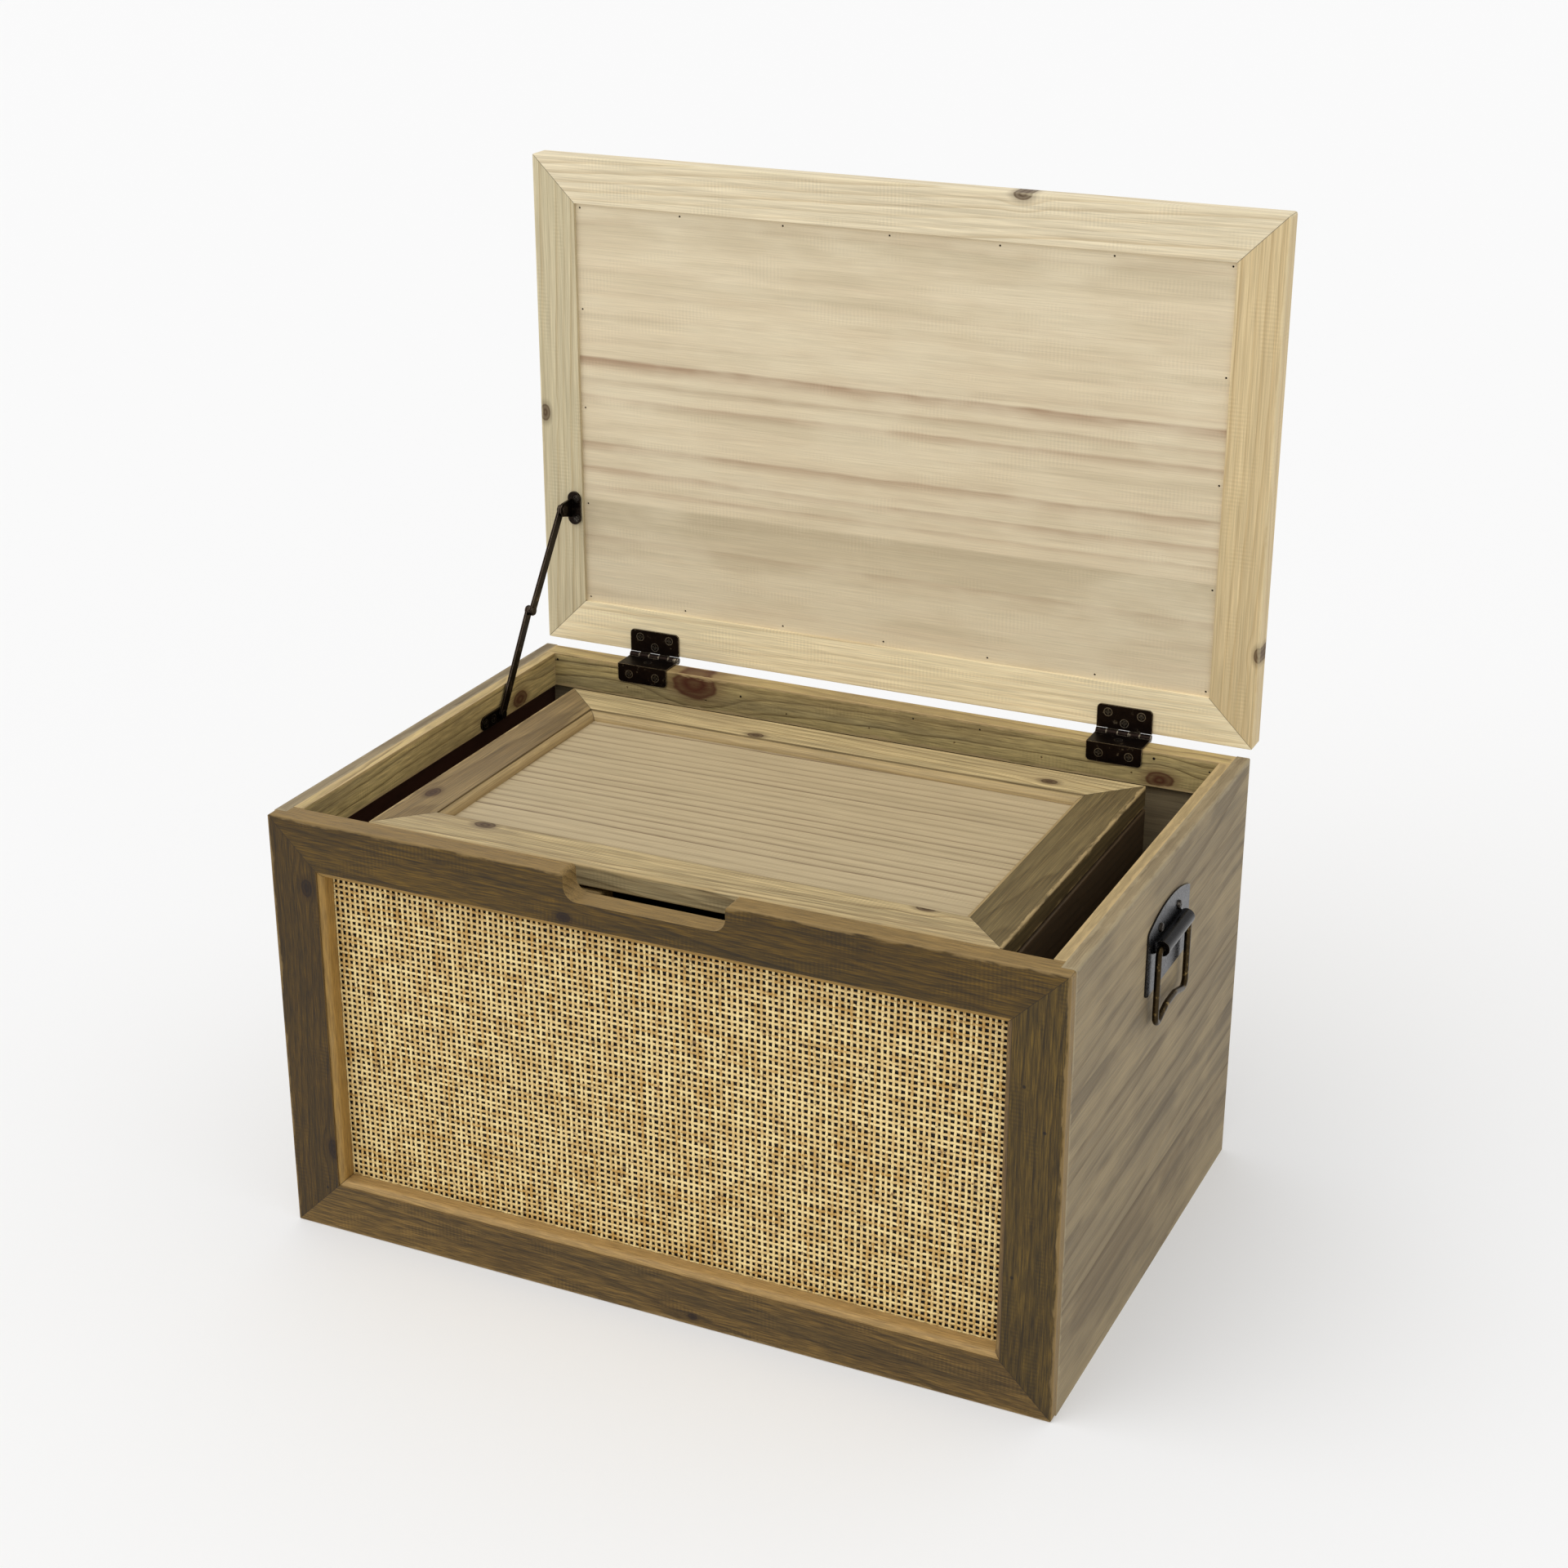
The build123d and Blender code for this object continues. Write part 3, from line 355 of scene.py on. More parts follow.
    # Knots: a dark heart with its own rings, in a reddish halo.
    for distance in distances:
        rough_distance = add(tree, "ShaderNodeMath", waver, 0.25, distance, operation="MULTIPLY_ADD")
        halo = add(tree, "ShaderNodeMapRange", rough_distance, 0.9, 1.8, 0.4, 0.0, **SMOOTH)
        colour = add(tree, "ShaderNodeMix", halo, colour, toned["knot"], data_type="RGBA")
        core = add(tree, "ShaderNodeMapRange", rough_distance, 0.82, 1.02, 0.92, 0.0, **SMOOTH)
        turns = add(tree, "ShaderNodeMath", rough_distance, 3.2, operation="MULTIPLY")
        turns = add(tree, "ShaderNodeMath", turns, 1.0, operation="PINGPONG")
        turns = add(tree, "ShaderNodeMapRange", turns, 0.0, 1.0, 0.65, 1.0)
        core = add(tree, "ShaderNodeMath", core, turns, operation="MULTIPLY")
        colour = add(tree, "ShaderNodeMix", core, colour, toned["knot"], data_type="RGBA")

    # Heads of the pins that hold the frame, flush with its face.
    for spot_along, spot_across, size in pins:
        away = add(tree, "ShaderNodeVectorMath", grain, (spot_along, spot_across, 0), operation="SUBTRACT")
        away = add(tree, "ShaderNodeVectorMath", away, (1, 1, 0), operation="MULTIPLY")
        away = add(tree, "ShaderNodeVectorMath", away, operation="LENGTH").node.outputs["Value"]
        pin = add(tree, "ShaderNodeMapRange", away, size - 0.2, size + 0.3, 0.9, 0.0)
        colour = add(tree, "ShaderNodeMix", pin, colour, paint(PIN_BLACK), data_type="RGBA")

    # How far the surface is from the board's arrises: the middle one of the distances to its faces.
    reach = add(tree, "ShaderNodeVectorMath", where, operation="ABSOLUTE")
    reach = add(tree, "ShaderNodeVectorMath", tuple(half), reach, operation="SUBTRACT")
    gaps = add(tree, "ShaderNodeSeparateXYZ", reach).node.outputs
    lower = add(tree, "ShaderNodeMath", gaps[0], gaps[1], operation="MINIMUM")
    upper = add(tree, "ShaderNodeMath", gaps[0], gaps[1], operation="MAXIMUM")
    upper = add(tree, "ShaderNodeMath", upper, gaps[2], operation="MINIMUM")
    arris = add(tree, "ShaderNodeMath", lower, upper, operation="MAXIMUM")
    height = add(tree, "ShaderNodeMath", ring, -RING_GROOVE, operation="MULTIPLY")
    if outer:
        # The inner moulding takes less stain and is painted lighter as a highlight on its round, its step is painted
        # dark as shade in the crease, and the mitred ends meet in a thin dark line.
        edge = add(tree, "ShaderNodeMath", across, -outer, half[order[1]], operation="MULTIPLY_ADD")
        bead_tint_and_highlight = add(tree, "ShaderNodeMapRange", edge, member - bead - 0.3, member - bead + 0.3, 0.0, 0.75)
        colour = add(tree, "ShaderNodeMix", bead_tint_and_highlight, colour, toned["bead"], data_type="RGBA")
        colour = add(tree, "ShaderNodeVectorMath", colour, lights, operation="SCALE")
        step = add(tree, "ShaderNodeMath", edge, member - bead, 0.4, operation="COMPARE")
        end = add(tree, "ShaderNodeMath", gaps[order[0]], 0.7, operation="ADD")
        seam = add(tree, "ShaderNodeMath", edge, end, 0.24, operation="COMPARE")
        seam = add(tree, "ShaderNodeMath", seam, 0.6, operation="MULTIPLY")
        # Painted shade in the step, and the dark line of the mitre seam.
        shade_and_seam = add(tree, "ShaderNodeMath", step, 0.45, operation="MULTIPLY")
        shade_and_seam = add(tree, "ShaderNodeMath", shade_and_seam, seam, operation="MAXIMUM")
        colour = add(tree, "ShaderNodeMix", shade_and_seam, colour, paint(SHADE_AND_SEAM_DARK), data_type="RGBA")
        height = add(tree, "ShaderNodeMath", seam, -SEAM_DEPTH, height, operation="MULTIPLY_ADD")
    rub = noise(tree, seeded, RUB_SIZE, 3.0, 0.7)
    rub = add(tree, "ShaderNodeMapRange", rub, 0.3, 0.7, -look["edge"], look["edge"])
    rub = add(tree, "ShaderNodeMath", arris, rub, operation="ADD")
    rub = add(tree, "ShaderNodeMapRange", rub, 0.4, look["edge"] + 0.6, look["wear"], 0.0, **SMOOTH)
    colour = add(tree, "ShaderNodeMix", rub, colour, toned["worn"], data_type="RGBA")

    dull = add(tree, "ShaderNodeMapRange", fibre, 0.2, 0.8, look["rough"] - 0.08, look["rough"] + 0.12)
    height = add(tree, "ShaderNodeMath", fibre, FIBRE_HEIGHT, height, operation="MULTIPLY_ADD")
    height = add(tree, "ShaderNodeMath", ripple, SAW_HEIGHT, height, operation="MULTIPLY_ADD")
    shader = add(tree, "ShaderNodeBsdfPrincipled", colour, 0.0, dull).node
    shader.inputs["Specular IOR Level"].default_value = 0.32
    close_material(tree, shader, height)
    return material


def finish(node, material):
    """Gives a CAD node its finish."""
    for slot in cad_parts[node].material_slots:
        slot.material = material


# Metals

GRIT_SIZE = 1.1
GRIT_HEIGHT = 0.012
ROLL_EDGE = 0.4
ROLL_BLACK = "#0f0b09"


def metal(name, dark, bright, roughness, mottle=6.0, wear=0.5, rub_size=0.5, roll=None):
    """A metal finish: a dark face, mottled, that is rubbed through to the bright metal on its edges. roll is how far
    from the middle of the chest, in millimetres, the metal turns black."""
    material = new_material(name)
    tree = material.node_tree
    where = add(tree, "ShaderNodeTexCoord").node.outputs["Object"]
    place = add(tree, "ShaderNodeVectorMath", where, (1 / MM,) * 3, operation="MULTIPLY")
    cloud = noise(tree, place, (mottle,) * 3, 3.0, 0.6)
    grit = noise(tree, place, (GRIT_SIZE,) * 3, 2.0, 0.6)
    tone = add(tree, "ShaderNodeMapRange", cloud, 0.3, 0.7, 0.75, 1.3)
    colour = add(tree, "ShaderNodeVectorMath", paint(dark)[:3], tone, operation="SCALE")
    if roll:
        aside = add(tree, "ShaderNodeSeparateXYZ", place).node.outputs[0]
        aside = add(tree, "ShaderNodeMath", aside, operation="ABSOLUTE")
        black = add(tree, "ShaderNodeMapRange", aside, roll - ROLL_EDGE, roll + ROLL_EDGE, 0.0, 0.88)
        colour = add(tree, "ShaderNodeMix", black, colour, paint(ROLL_BLACK), data_type="RGBA")
    rounded = add(tree, "ShaderNodeBevel", rub_size * MM, samples=4)
    flat = add(tree, "ShaderNodeNewGeometry").node.outputs["Normal"]
    turn = add(tree, "ShaderNodeVectorMath", rounded, flat, operation="DOT_PRODUCT").node.outputs["Value"]
    edge = add(tree, "ShaderNodeMapRange", turn, 0.985, 0.90, 0.0, wear)
    edge = add(tree, "ShaderNodeMath", edge, grit, operation="MULTIPLY")
    scuff = add(tree, "ShaderNodeMapRange", cloud, 0.62, 0.75, 0.0, wear * 0.5)
    edge = add(tree, "ShaderNodeMath", edge, 2.0, scuff, operation="MULTIPLY_ADD", use_clamp=True)
    colour = add(tree, "ShaderNodeMix", edge, colour, paint(bright), data_type="RGBA")
    dull = add(tree, "ShaderNodeMapRange", grit, 0.3, 0.7, roughness - 0.07, roughness + 0.1)
    height = add(tree, "ShaderNodeMath", grit, GRIT_HEIGHT, operation="MULTIPLY")
    shader = add(tree, "ShaderNodeBsdfPrincipled", colour, 1.0, dull).node
    close_material(tree, shader, height)
    return material


# Cane

def cane_material(name, pale, tan, dark):
    """Split rattan cane, woven wet: dry, straw-coloured strands, each of its own tone, with darker nodes."""
    material = new_material(name)
    tree = material.node_tree
    strand = add(tree, "ShaderNodeAttribute", attribute_name="strand").node.outputs["Fac"]
    where = add(tree, "ShaderNodeTexCoord").node.outputs["Object"]
    place = add(tree, "ShaderNodeVectorMath", where, (1 / MM,) * 3, operation="MULTIPLY")
    apart = add(tree, "ShaderNodeCombineXYZ", 0.0, strand, 0.0)
    place = add(tree, "ShaderNodeVectorMath", apart, (0, 900, 0), place, operation="MULTIPLY_ADD")
    cloud = noise(tree, place, (17, 17, 17), 3.0, 0.6)
    cloud = add(tree, "ShaderNodeMapRange", cloud, 0.36, 0.66, 0.0, 0.85, **SMOOTH)
    tone = add(tree, "ShaderNodeMapRange", strand, 0.0, 1.0, -0.22, 0.22)
    cloud = add(tree, "ShaderNodeMath", cloud, tone, operation="ADD", use_clamp=True)
    colour = add(tree, "ShaderNodeMix", cloud, pale, tan, data_type="RGBA")
    mark = noise(tree, place, (4.5, 4.5, 4.5), 2.0, 0.6)
    mark = add(tree, "ShaderNodeMapRange", mark, 0.60, 0.72, 0.0, 0.75, **SMOOTH)
    colour = add(tree, "ShaderNodeMix", mark, colour, dark, data_type="RGBA")
    fibre = noise(tree, place, (0.7, 0.7, 0.7), 2.0, 0.6)
    dull = add(tree, "ShaderNodeMapRange", fibre, 0.3, 0.7, 0.42, 0.62)
    height = add(tree, "ShaderNodeMath", fibre, 0.05, operation="MULTIPLY")
    shader = add(tree, "ShaderNodeBsdfPrincipled", colour, 0.0, dull).node
    close_material(tree, shader, height)
    return material


def named_tree(name, sockets):
    """An empty Geometry Nodes tree with those named inputs, and its input and output nodes."""
    tree = bpy.data.node_groups.new(name, "GeometryNodeTree")
    tree.interface.new_socket("Geometry", in_out="INPUT", socket_type="NodeSocketGeometry")
    for label, kind in sockets:
        tree.interface.new_socket(label, in_out="INPUT", socket_type=kind)
    tree.interface.new_socket("Geometry", in_out="OUTPUT", socket_type="NodeSocketGeometry")
    return tree, tree.nodes.new("NodeGroupInput").outputs, tree.nodes.new("NodeGroupOutput")


def end_tree(tree, output, geometry, material):
    """Every tree ends the same way: real geometry in its material."""
    solid = add(tree, "GeometryNodeRealizeInstances", geometry)
    shaded = add(tree, "GeometryNodeSetMaterial", solid, True, material)
    tree.links.new(shaded, output.inputs[0])


def grow(name, tree, values, points=()):
    """Runs a tree on a mesh of loose points and gives back the result as a plain mesh object."""
    mesh = bpy.data.meshes.new(name)
    mesh.from_pydata([tuple(p) for p in points], [], [])
    piece = bpy.data.objects.new(name, mesh)
    bpy.context.scene.collection.objects.link(piece)
    modifier = piece.modifiers.new(tree.name, "NODES")
    modifier.node_group = tree
    for item in tree.interface.items_tree:
        if item.in_out == "INPUT" and item.name in values:
            modifier[item.identifier] = values[item.name]
    graph = bpy.context.evaluated_depsgraph_get()
    grown = bpy.data.meshes.new_from_object(
        piece.evaluated_get(graph), preserve_all_data_layers=True, depsgraph=graph)
    piece.modifiers.clear()
    piece.data = grown
    bpy.data.meshes.remove(mesh)
    return piece


def strand_tree():
    """Parallel strands that pass over and under the crossing ones, in the XY plane."""
    number = "NodeSocketFloat"
    tree, given, output = named_tree("Cane strands", [
        ("Run", number), ("Spread", number), ("Strand pitch", number), ("Crossing pitch", number),
        ("Strand width", number), ("Strand thickness", number), ("Lift", number), ("Phase", number),
        ("Wander", number), ("Seed", "NodeSocketInt"), ("Material", "NodeSocketMaterial"),
    ])
    half_run = add(tree, "ShaderNodeMath", given["Run"], 0.5, operation="MULTIPLY")
    start = add(tree, "ShaderNodeCombineXYZ", add(tree, "ShaderNodeMath", half_run, -1.0, operation="MULTIPLY"))
    stop = add(tree, "ShaderNodeCombineXYZ", half_run)
    line = add(tree, "GeometryNodeCurvePrimitiveLine", start, stop)
    crossings = add(tree, "ShaderNodeMath", given["Run"], given["Crossing pitch"], operation="DIVIDE")
    samples = add(tree, "ShaderNodeMath", crossings, 2.0, 1.0, operation="MULTIPLY_ADD")
    line = add(tree, "GeometryNodeResampleCurve", line, None, samples)
    strands = add(tree, "ShaderNodeMath", given["Spread"], given["Strand pitch"], operation="DIVIDE")
    strands = add(tree, "ShaderNodeMath", strands, operation="ROUND")
    first = add(tree, "ShaderNodeMath", given["Strand pitch"], given["Spread"], operation="SUBTRACT")
    first = add(tree, "ShaderNodeMath", first, 0.5, operation="MULTIPLY")
    base = add(tree, "ShaderNodeCombineXYZ", 0.0, first, 0.0)
    step = add(tree, "ShaderNodeCombineXYZ", 0.0, given["Strand pitch"], 0.0)
    row = add(tree, "GeometryNodeMeshLine", strands, base, step, mode="OFFSET")
    row = add(tree, "GeometryNodeMeshToPoints", row)
    laid = add(tree, "GeometryNodeInstanceOnPoints", row, None, line)
    tone = tree.nodes.new("FunctionNodeRandomValue")
    tree.links.new(given["Seed"], next(s for s in tone.inputs if s.name == "Seed"))
    tone = next(s for s in tone.outputs if s.enabled)
    laid = add(tree, "GeometryNodeStoreNamedAttribute", laid, True, "strand", tone, domain="INSTANCE")
    laid = add(tree, "GeometryNodeRealizeInstances", laid)
    place = add(tree, "ShaderNodeSeparateXYZ", add(tree, "GeometryNodeInputPosition")).node.outputs
    over = add(tree, "ShaderNodeMath", place[0], half_run, operation="ADD")
    over = add(tree, "ShaderNodeMath", over, given["Crossing pitch"], operation="DIVIDE")
    over = add(tree, "ShaderNodeMath", over, 0.5, operation="SUBTRACT")
    beside = add(tree, "ShaderNodeMath", place[1], first, operation="SUBTRACT")
    beside = add(tree, "ShaderNodeMath", beside, given["Strand pitch"], operation="DIVIDE")
    turn = add(tree, "ShaderNodeMath", over, beside, operation="ADD")
    turn = add(tree, "ShaderNodeMath", turn, given["Phase"], operation="ADD")
    wave = add(tree, "ShaderNodeMath", turn, math.pi, operation="MULTIPLY")
    wave = add(tree, "ShaderNodeMath", wave, operation="COSINE")
    lift = add(tree, "ShaderNodeMath", wave, given["Lift"], operation="MULTIPLY")
    seeded = add(tree, "ShaderNodeCombineXYZ", place[0], place[1], given["Seed"])
    drift = add(tree, "ShaderNodeVectorMath", seeded, (24.0, 260.0, 1.0), operation="MULTIPLY")
    drift = add(tree, "ShaderNodeTexNoise", drift, 1.0, 2.0)
    drift = add(tree, "ShaderNodeMapRange", drift, 0.0, 1.0, -1.0, 1.0)
    drift = add(tree, "ShaderNodeMath", drift, given["Wander"], operation="MULTIPLY")
    shift = add(tree, "ShaderNodeCombineXYZ", 0.0, drift, lift)
    laid = add(tree, "GeometryNodeSetPosition", laid, True, None, shift)
    profile = add(tree, "GeometryNodeCurvePrimitiveQuadrilateral", given["Strand width"], given["Strand thickness"])
    band = add(tree, "GeometryNodeCurveToMesh", laid, profile, 1.0, True)
    band = add(tree, "GeometryNodeSetShadeSmooth", band)
    end_tree(tree, output, band, given["Material"])
    return tree


def pin_tree():
    """A small tapered pin head on each point, turned to face one way, each of its own size."""
    number = "NodeSocketFloat"
    tree, given, output = named_tree("Pin nails", [
        ("Head radius", number), ("Head height", number), ("Facing", "NodeSocketVector"),
        ("Seed", "NodeSocketInt"), ("Material", "NodeSocketMaterial"),
    ])
    points = add(tree, "GeometryNodeMeshToPoints", given["Geometry"])
    head = tree.nodes.new("GeometryNodeMeshCone")
    narrow = add(tree, "ShaderNodeMath", given["Head radius"], 0.55, operation="MULTIPLY")
    head.inputs["Vertices"].default_value = 12
    tree.links.new(narrow, head.inputs["Radius Top"])
    tree.links.new(given["Head radius"], head.inputs["Radius Bottom"])
    tree.links.new(given["Head height"], head.inputs["Depth"])
    facing = add(tree, "FunctionNodeAlignRotationToVector", None, None, given["Facing"], axis="Z")
    size = tree.nodes.new("FunctionNodeRandomValue")
    sockets = [s for s in size.inputs if s.enabled]
    sockets[0].default_value, sockets[1].default_value = 0.75, 1.2
    tree.links.new(given["Seed"], next(s for s in size.inputs if s.name == "Seed"))
    size = next(s for s in size.outputs if s.enabled)
    driven = add(tree, "GeometryNodeInstanceOnPoints", points, None, head.outputs["Mesh"], None, None, facing, size)
    end_tree(tree, output, driven, given["Material"])
    return tree


# Sizes and colours

class ChestSettings(bpy.types.PropertyGroup):
    """Sizes and colours of the chest's cane, pins and stage."""

    warp_pitch: bpy.props.FloatProperty(
        name="Warp pitch", description="Distance between the upright strands of cane",
        default=3.80 * MM, unit="LENGTH", precision=4)
    weft_pitch: bpy.props.FloatProperty(
        name="Weft pitch", description="Distance between the level strands of cane",
        default=3.90 * MM, unit="LENGTH", precision=4)
    strand_width: bpy.props.FloatProperty(
        name="Strand width", description="Width of one split strand of cane",
        default=1.58 * MM, unit="LENGTH", precision=4)
    strand_thickness: bpy.props.FloatProperty(
        name="Strand thickness", description="Thickness of one split strand of cane",
        default=0.60 * MM, unit="LENGTH", precision=4)
    cane_pale: bpy.props.FloatVectorProperty(
        name="Pale cane", description="Colour of the outer skin of the cane",
        default=linear("#f6dc9c"), subtype="COLOR", min=0, max=1)
    cane_tan: bpy.props.FloatVectorProperty(
        name="Tan cane", description="Colour of the inner side of the cane",
        default=linear("#c0954a"), subtype="COLOR", min=0, max=1)
    cane_node: bpy.props.FloatVectorProperty(
        name="Cane nodes", description="Colour of the darker joints along the cane",
        default=linear("#6b4a25"), subtype="COLOR", min=0, max=1)
    pin_radius: bpy.props.FloatProperty(
        name="Pin radius", description="Radius of a pin nail's head",
        default=0.85 * MM, unit="LENGTH", precision=4)
    floor_colour: bpy.props.FloatVectorProperty(
        name="Floor", description="Colour of the studio floor",
        default=linear("#d5d5d5"), subtype="COLOR", min=0, max=1)
    seed: bpy.props.IntProperty(
        name="Seed", description="Seed of the cane's and the pins' variation", default=7)


def settings():
    return bpy.context.scene.chest_settings


# Operators

# Widths of the frame members and of their inner mouldings, and how far out the handle plates turn black, are in
# millimetres. The cane's wander and the pins' sizes and places are in metres, and its lift is a share of a
# strand's thickness. A pin's place is given along the back rail and above its rise from the rail's lower edge.

FRAME_MEMBER = 37.0
FRONT_BEAD = 4.0
NESTED_MEMBER = 34.0
NESTED_BEAD = 4.0
NESTED_LID_MEMBER = 36.0
NESTED_LID_BEAD = 5.0
SIDE_TONE = (0.86, 0.80, 0.72)
CANE_LIFT = 0.52
CANE_WANDER = 0.0010
PIN_HEIGHT = 0.0003
PIN_RISE = 0.0195
PIN_PLACES = ((-0.2418, 0.0), (-0.097, -0.005), (0.032, 0.0), (0.080, 0.0), (0.2006, 0.0), (0.238, -0.003))
PLATE_ROLL = 262.0
# The right stile's bead is painted dark as shade, on the moulding that faces away from the light; the bottom rail's
# bead is a lighter tint.
BEAD_TINTS_AND_SHADE = {"front_bottom_rail": "#b08f5a", "front_right_stile": "#6d5535"}


class CHEST_OT_front_frame(bpy.types.Operator):
    """Finishes the mitred pine frame round the cane of the outer chest's front"""

    bl_idname = "chest.front_frame"
    bl_label = "Finish front frame"

    def execute(self, context):
        # Node, side of its outer edge, seed, knots, heart of the log, tone and pins.
        members = [
            ("front_top_rail", 1, 3, [(-53, -10, 3.2)], (-26, -30), (0.35, 0.295, 0.085), ()),
            ("front_bottom_rail", -1, 5, [(28, -12, 2.0)], (-22, -36), (0.54, 0.48, 0.29), ((241, 4, 0.9),)),
            ("front_left_stile", -1, 8, [(99, 7, 4.2), (-84, 13, 4.6)], (40, -30), (0.28, 0.23, 0.075),
             ((-114, 6, 0.9),)),
            ("front_right_stile", 1, 9, [], (70, -30), (0.35, 0.32, 0.13),
             ((71, -6, 1.0), (45, 7, 1.0), (-53, -9, 1.0))),
        ]
        for node, outer, seed, spots, pith, tone, pins in members:
            look = dict(WEATHERED_PINE, pith=pith, tone=tone)
            look["bead"] = BEAD_TINTS_AND_SHADE.get(node, look["bead"])
            material = timber(f"weathered_pine.{node}", node, look, seed, spots, outer=outer,
                              member=FRAME_MEMBER, bead=FRONT_BEAD, pins=pins)
            finish(node, material)
        return {"FINISHED"}


class CHEST_OT_carcass(bpy.types.Operator):
    """Finishes the outer chest's sides, back, rims, floor and linings"""

    bl_idname = "chest.carcass"
    bl_label = "Finish carcass boards"

    def execute(self, context):
        # Node, its wood's name and look, seed, tone and knots.
        boards = [
            ("left_side_board", "washed_paulownia", WASHED_PAULOWNIA, 11, SIDE_TONE, ()),
            ("right_side_board", "washed_paulownia", WASHED_PAULOWNIA, 12, SIDE_TONE, ()),
            ("back_board", "washed_paulownia", WASHED_PAULOWNIA, 13, SIDE_TONE, ()),
            ("back_rail", "olive_pine", OLIVE_PINE, 14, (1.6, 1.65, 1.65), ((-133, 5, 11), (205, -7, 6.5))),
            ("left_cleat", "olive_pine", OLIVE_PINE, 15, (1.95, 2.0, 2.0), ((106, -6, 6),)),
            ("right_cleat", "rim_pine", RIM_PINE, 16, AS_SAWN, ()),
            ("bottom_panel", "stained_board", STAINED_BOARD, 17, AS_SAWN, ()),
            ("bottom_cleats", "stained_board", STAINED_BOARD, 18, AS_SAWN, ()),
            ("side_linings", "dark_lining", DARK_LINING, 19, AS_SAWN, ()),
            ("cane_backing", "shade_black_backing", SHADE_BLACK_BACKING, 20, AS_SAWN, ()),
        ]
        for node, wood, look, seed, tone, spots in boards:
            along = "Y" if node == "side_linings" else None
            finish(node, timber(f"{wood}.{node}", node, dict(look, tone=tone), seed, spots, along))
        return {"FINISHED"}


class CHEST_OT_lid(bpy.types.Operator):
    """Finishes the pale pine frame and the paulownia panel of the outer lid"""

    bl_idname = "chest.lid"
    bl_label = "Finish lid"

    def execute(self, context):
        # Node, side of its outer edge, seed, knots, heart of the log and tone.
        members = [
            ("lid_front_rail", 1, 23, [(90, 18, 4.2)], (60, -30), (1.1, 1.13, 1.25)),
            ("lid_back_rail", -1, 24, [], (120, -30), (1.3, 1.33, 1.4)),
            ("lid_left_stile", -1, 25, [(-6, -15, 4.0)], (90, -30), (0.86, 0.88, 0.9)),
            ("lid_right_stile", 1, 26, [(-107, 18, 3.5)], (60, -30), (0.95, 0.88, 0.78)),
        ]
        for node, outer, seed, spots, pith, tone in members:
            look = dict(PALE_PINE, pith=pith, tone=tone)
            material = timber(f"pale_pine.{node}", node, look, seed, spots, outer=outer, member=FRAME_MEMBER)
            finish(node, material)
        finish("lid_panel", timber("paulownia.lid_panel", "lid_panel", PANEL_PAULOWNIA, 27))
        return {"FINISHED"}


class CHEST_OT_nested_chest(bpy.types.Operator):
    """Finishes the boards of the smaller chest and of its lid"""

    bl_idname = "chest.nested_chest"
    bl_label = "Finish nested chest"

    def execute(self, context):
        # Node, side of its outer edge, seed, knots, heart of the log and tone.
        lid_members = [
            ("nested_lid_front_rail", -1, 31, [(-141, 9, 4.5), (152, 13, 4.0)], (34, -40), (1.03, 1.03, 1.1)),
            ("nested_lid_back_rail", 1, 32, [(-55, -9, 4.0), (151, -2, 4.0)], (-44, -40), (1.15, 1.17, 1.25)),
            ("nested_lid_left_stile", -1, 33, [(-73, -6, 4.5)], (8, -40), (0.55, 0.49, 0.43)),
            ("nested_lid_right_stile", 1, 34, [], (20, -40), (0.33, 0.31, 0.26)),
        ]
        for node, outer, seed, spots, pith, tone in lid_members:
            look = dict(NESTED_FRAME, pith=pith, tone=tone)
            material = timber(f"tan_pine.{node}", node, look, seed, spots, outer=outer,
                              member=NESTED_LID_MEMBER, bead=NESTED_LID_BEAD)
            finish(node, material)
        front_members = [
            ("nested_front_top_rail", 1, 41), ("nested_front_bottom_rail", -1, 42),
            ("nested_front_left_stile", -1, 43), ("nested_front_right_stile", 1, 44),
        ]
        for node, outer, seed in front_members:
            material = timber(f"weathered_pine.{node}", node, WEATHERED_PINE, seed, outer=outer,
                              member=NESTED_MEMBER, bead=NESTED_BEAD)
            finish(node, material)
        boards = [
            ("nested_lid_panel", "striped_pine", dict(NESTED_PANEL, tone=(0.90, 0.93, 1.05)), 45),
            ("nested_back_board", "stained_board", STAINED_BOARD, 46),
            ("nested_left_side_board", "stained_board", STAINED_BOARD, 47),
            ("nested_right_side_board", "stained_board", STAINED_BOARD, 48),
            ("nested_bottom_panel", "stained_board", STAINED_BOARD, 49),
            ("nested_cane_backing", "shade_black_backing", SHADE_BLACK_BACKING, 50),
        ]
        for node, wood, look, seed in boards:
            finish(node, timber(f"{wood}.{node}", node, look, seed))
        return {"FINISHED"}


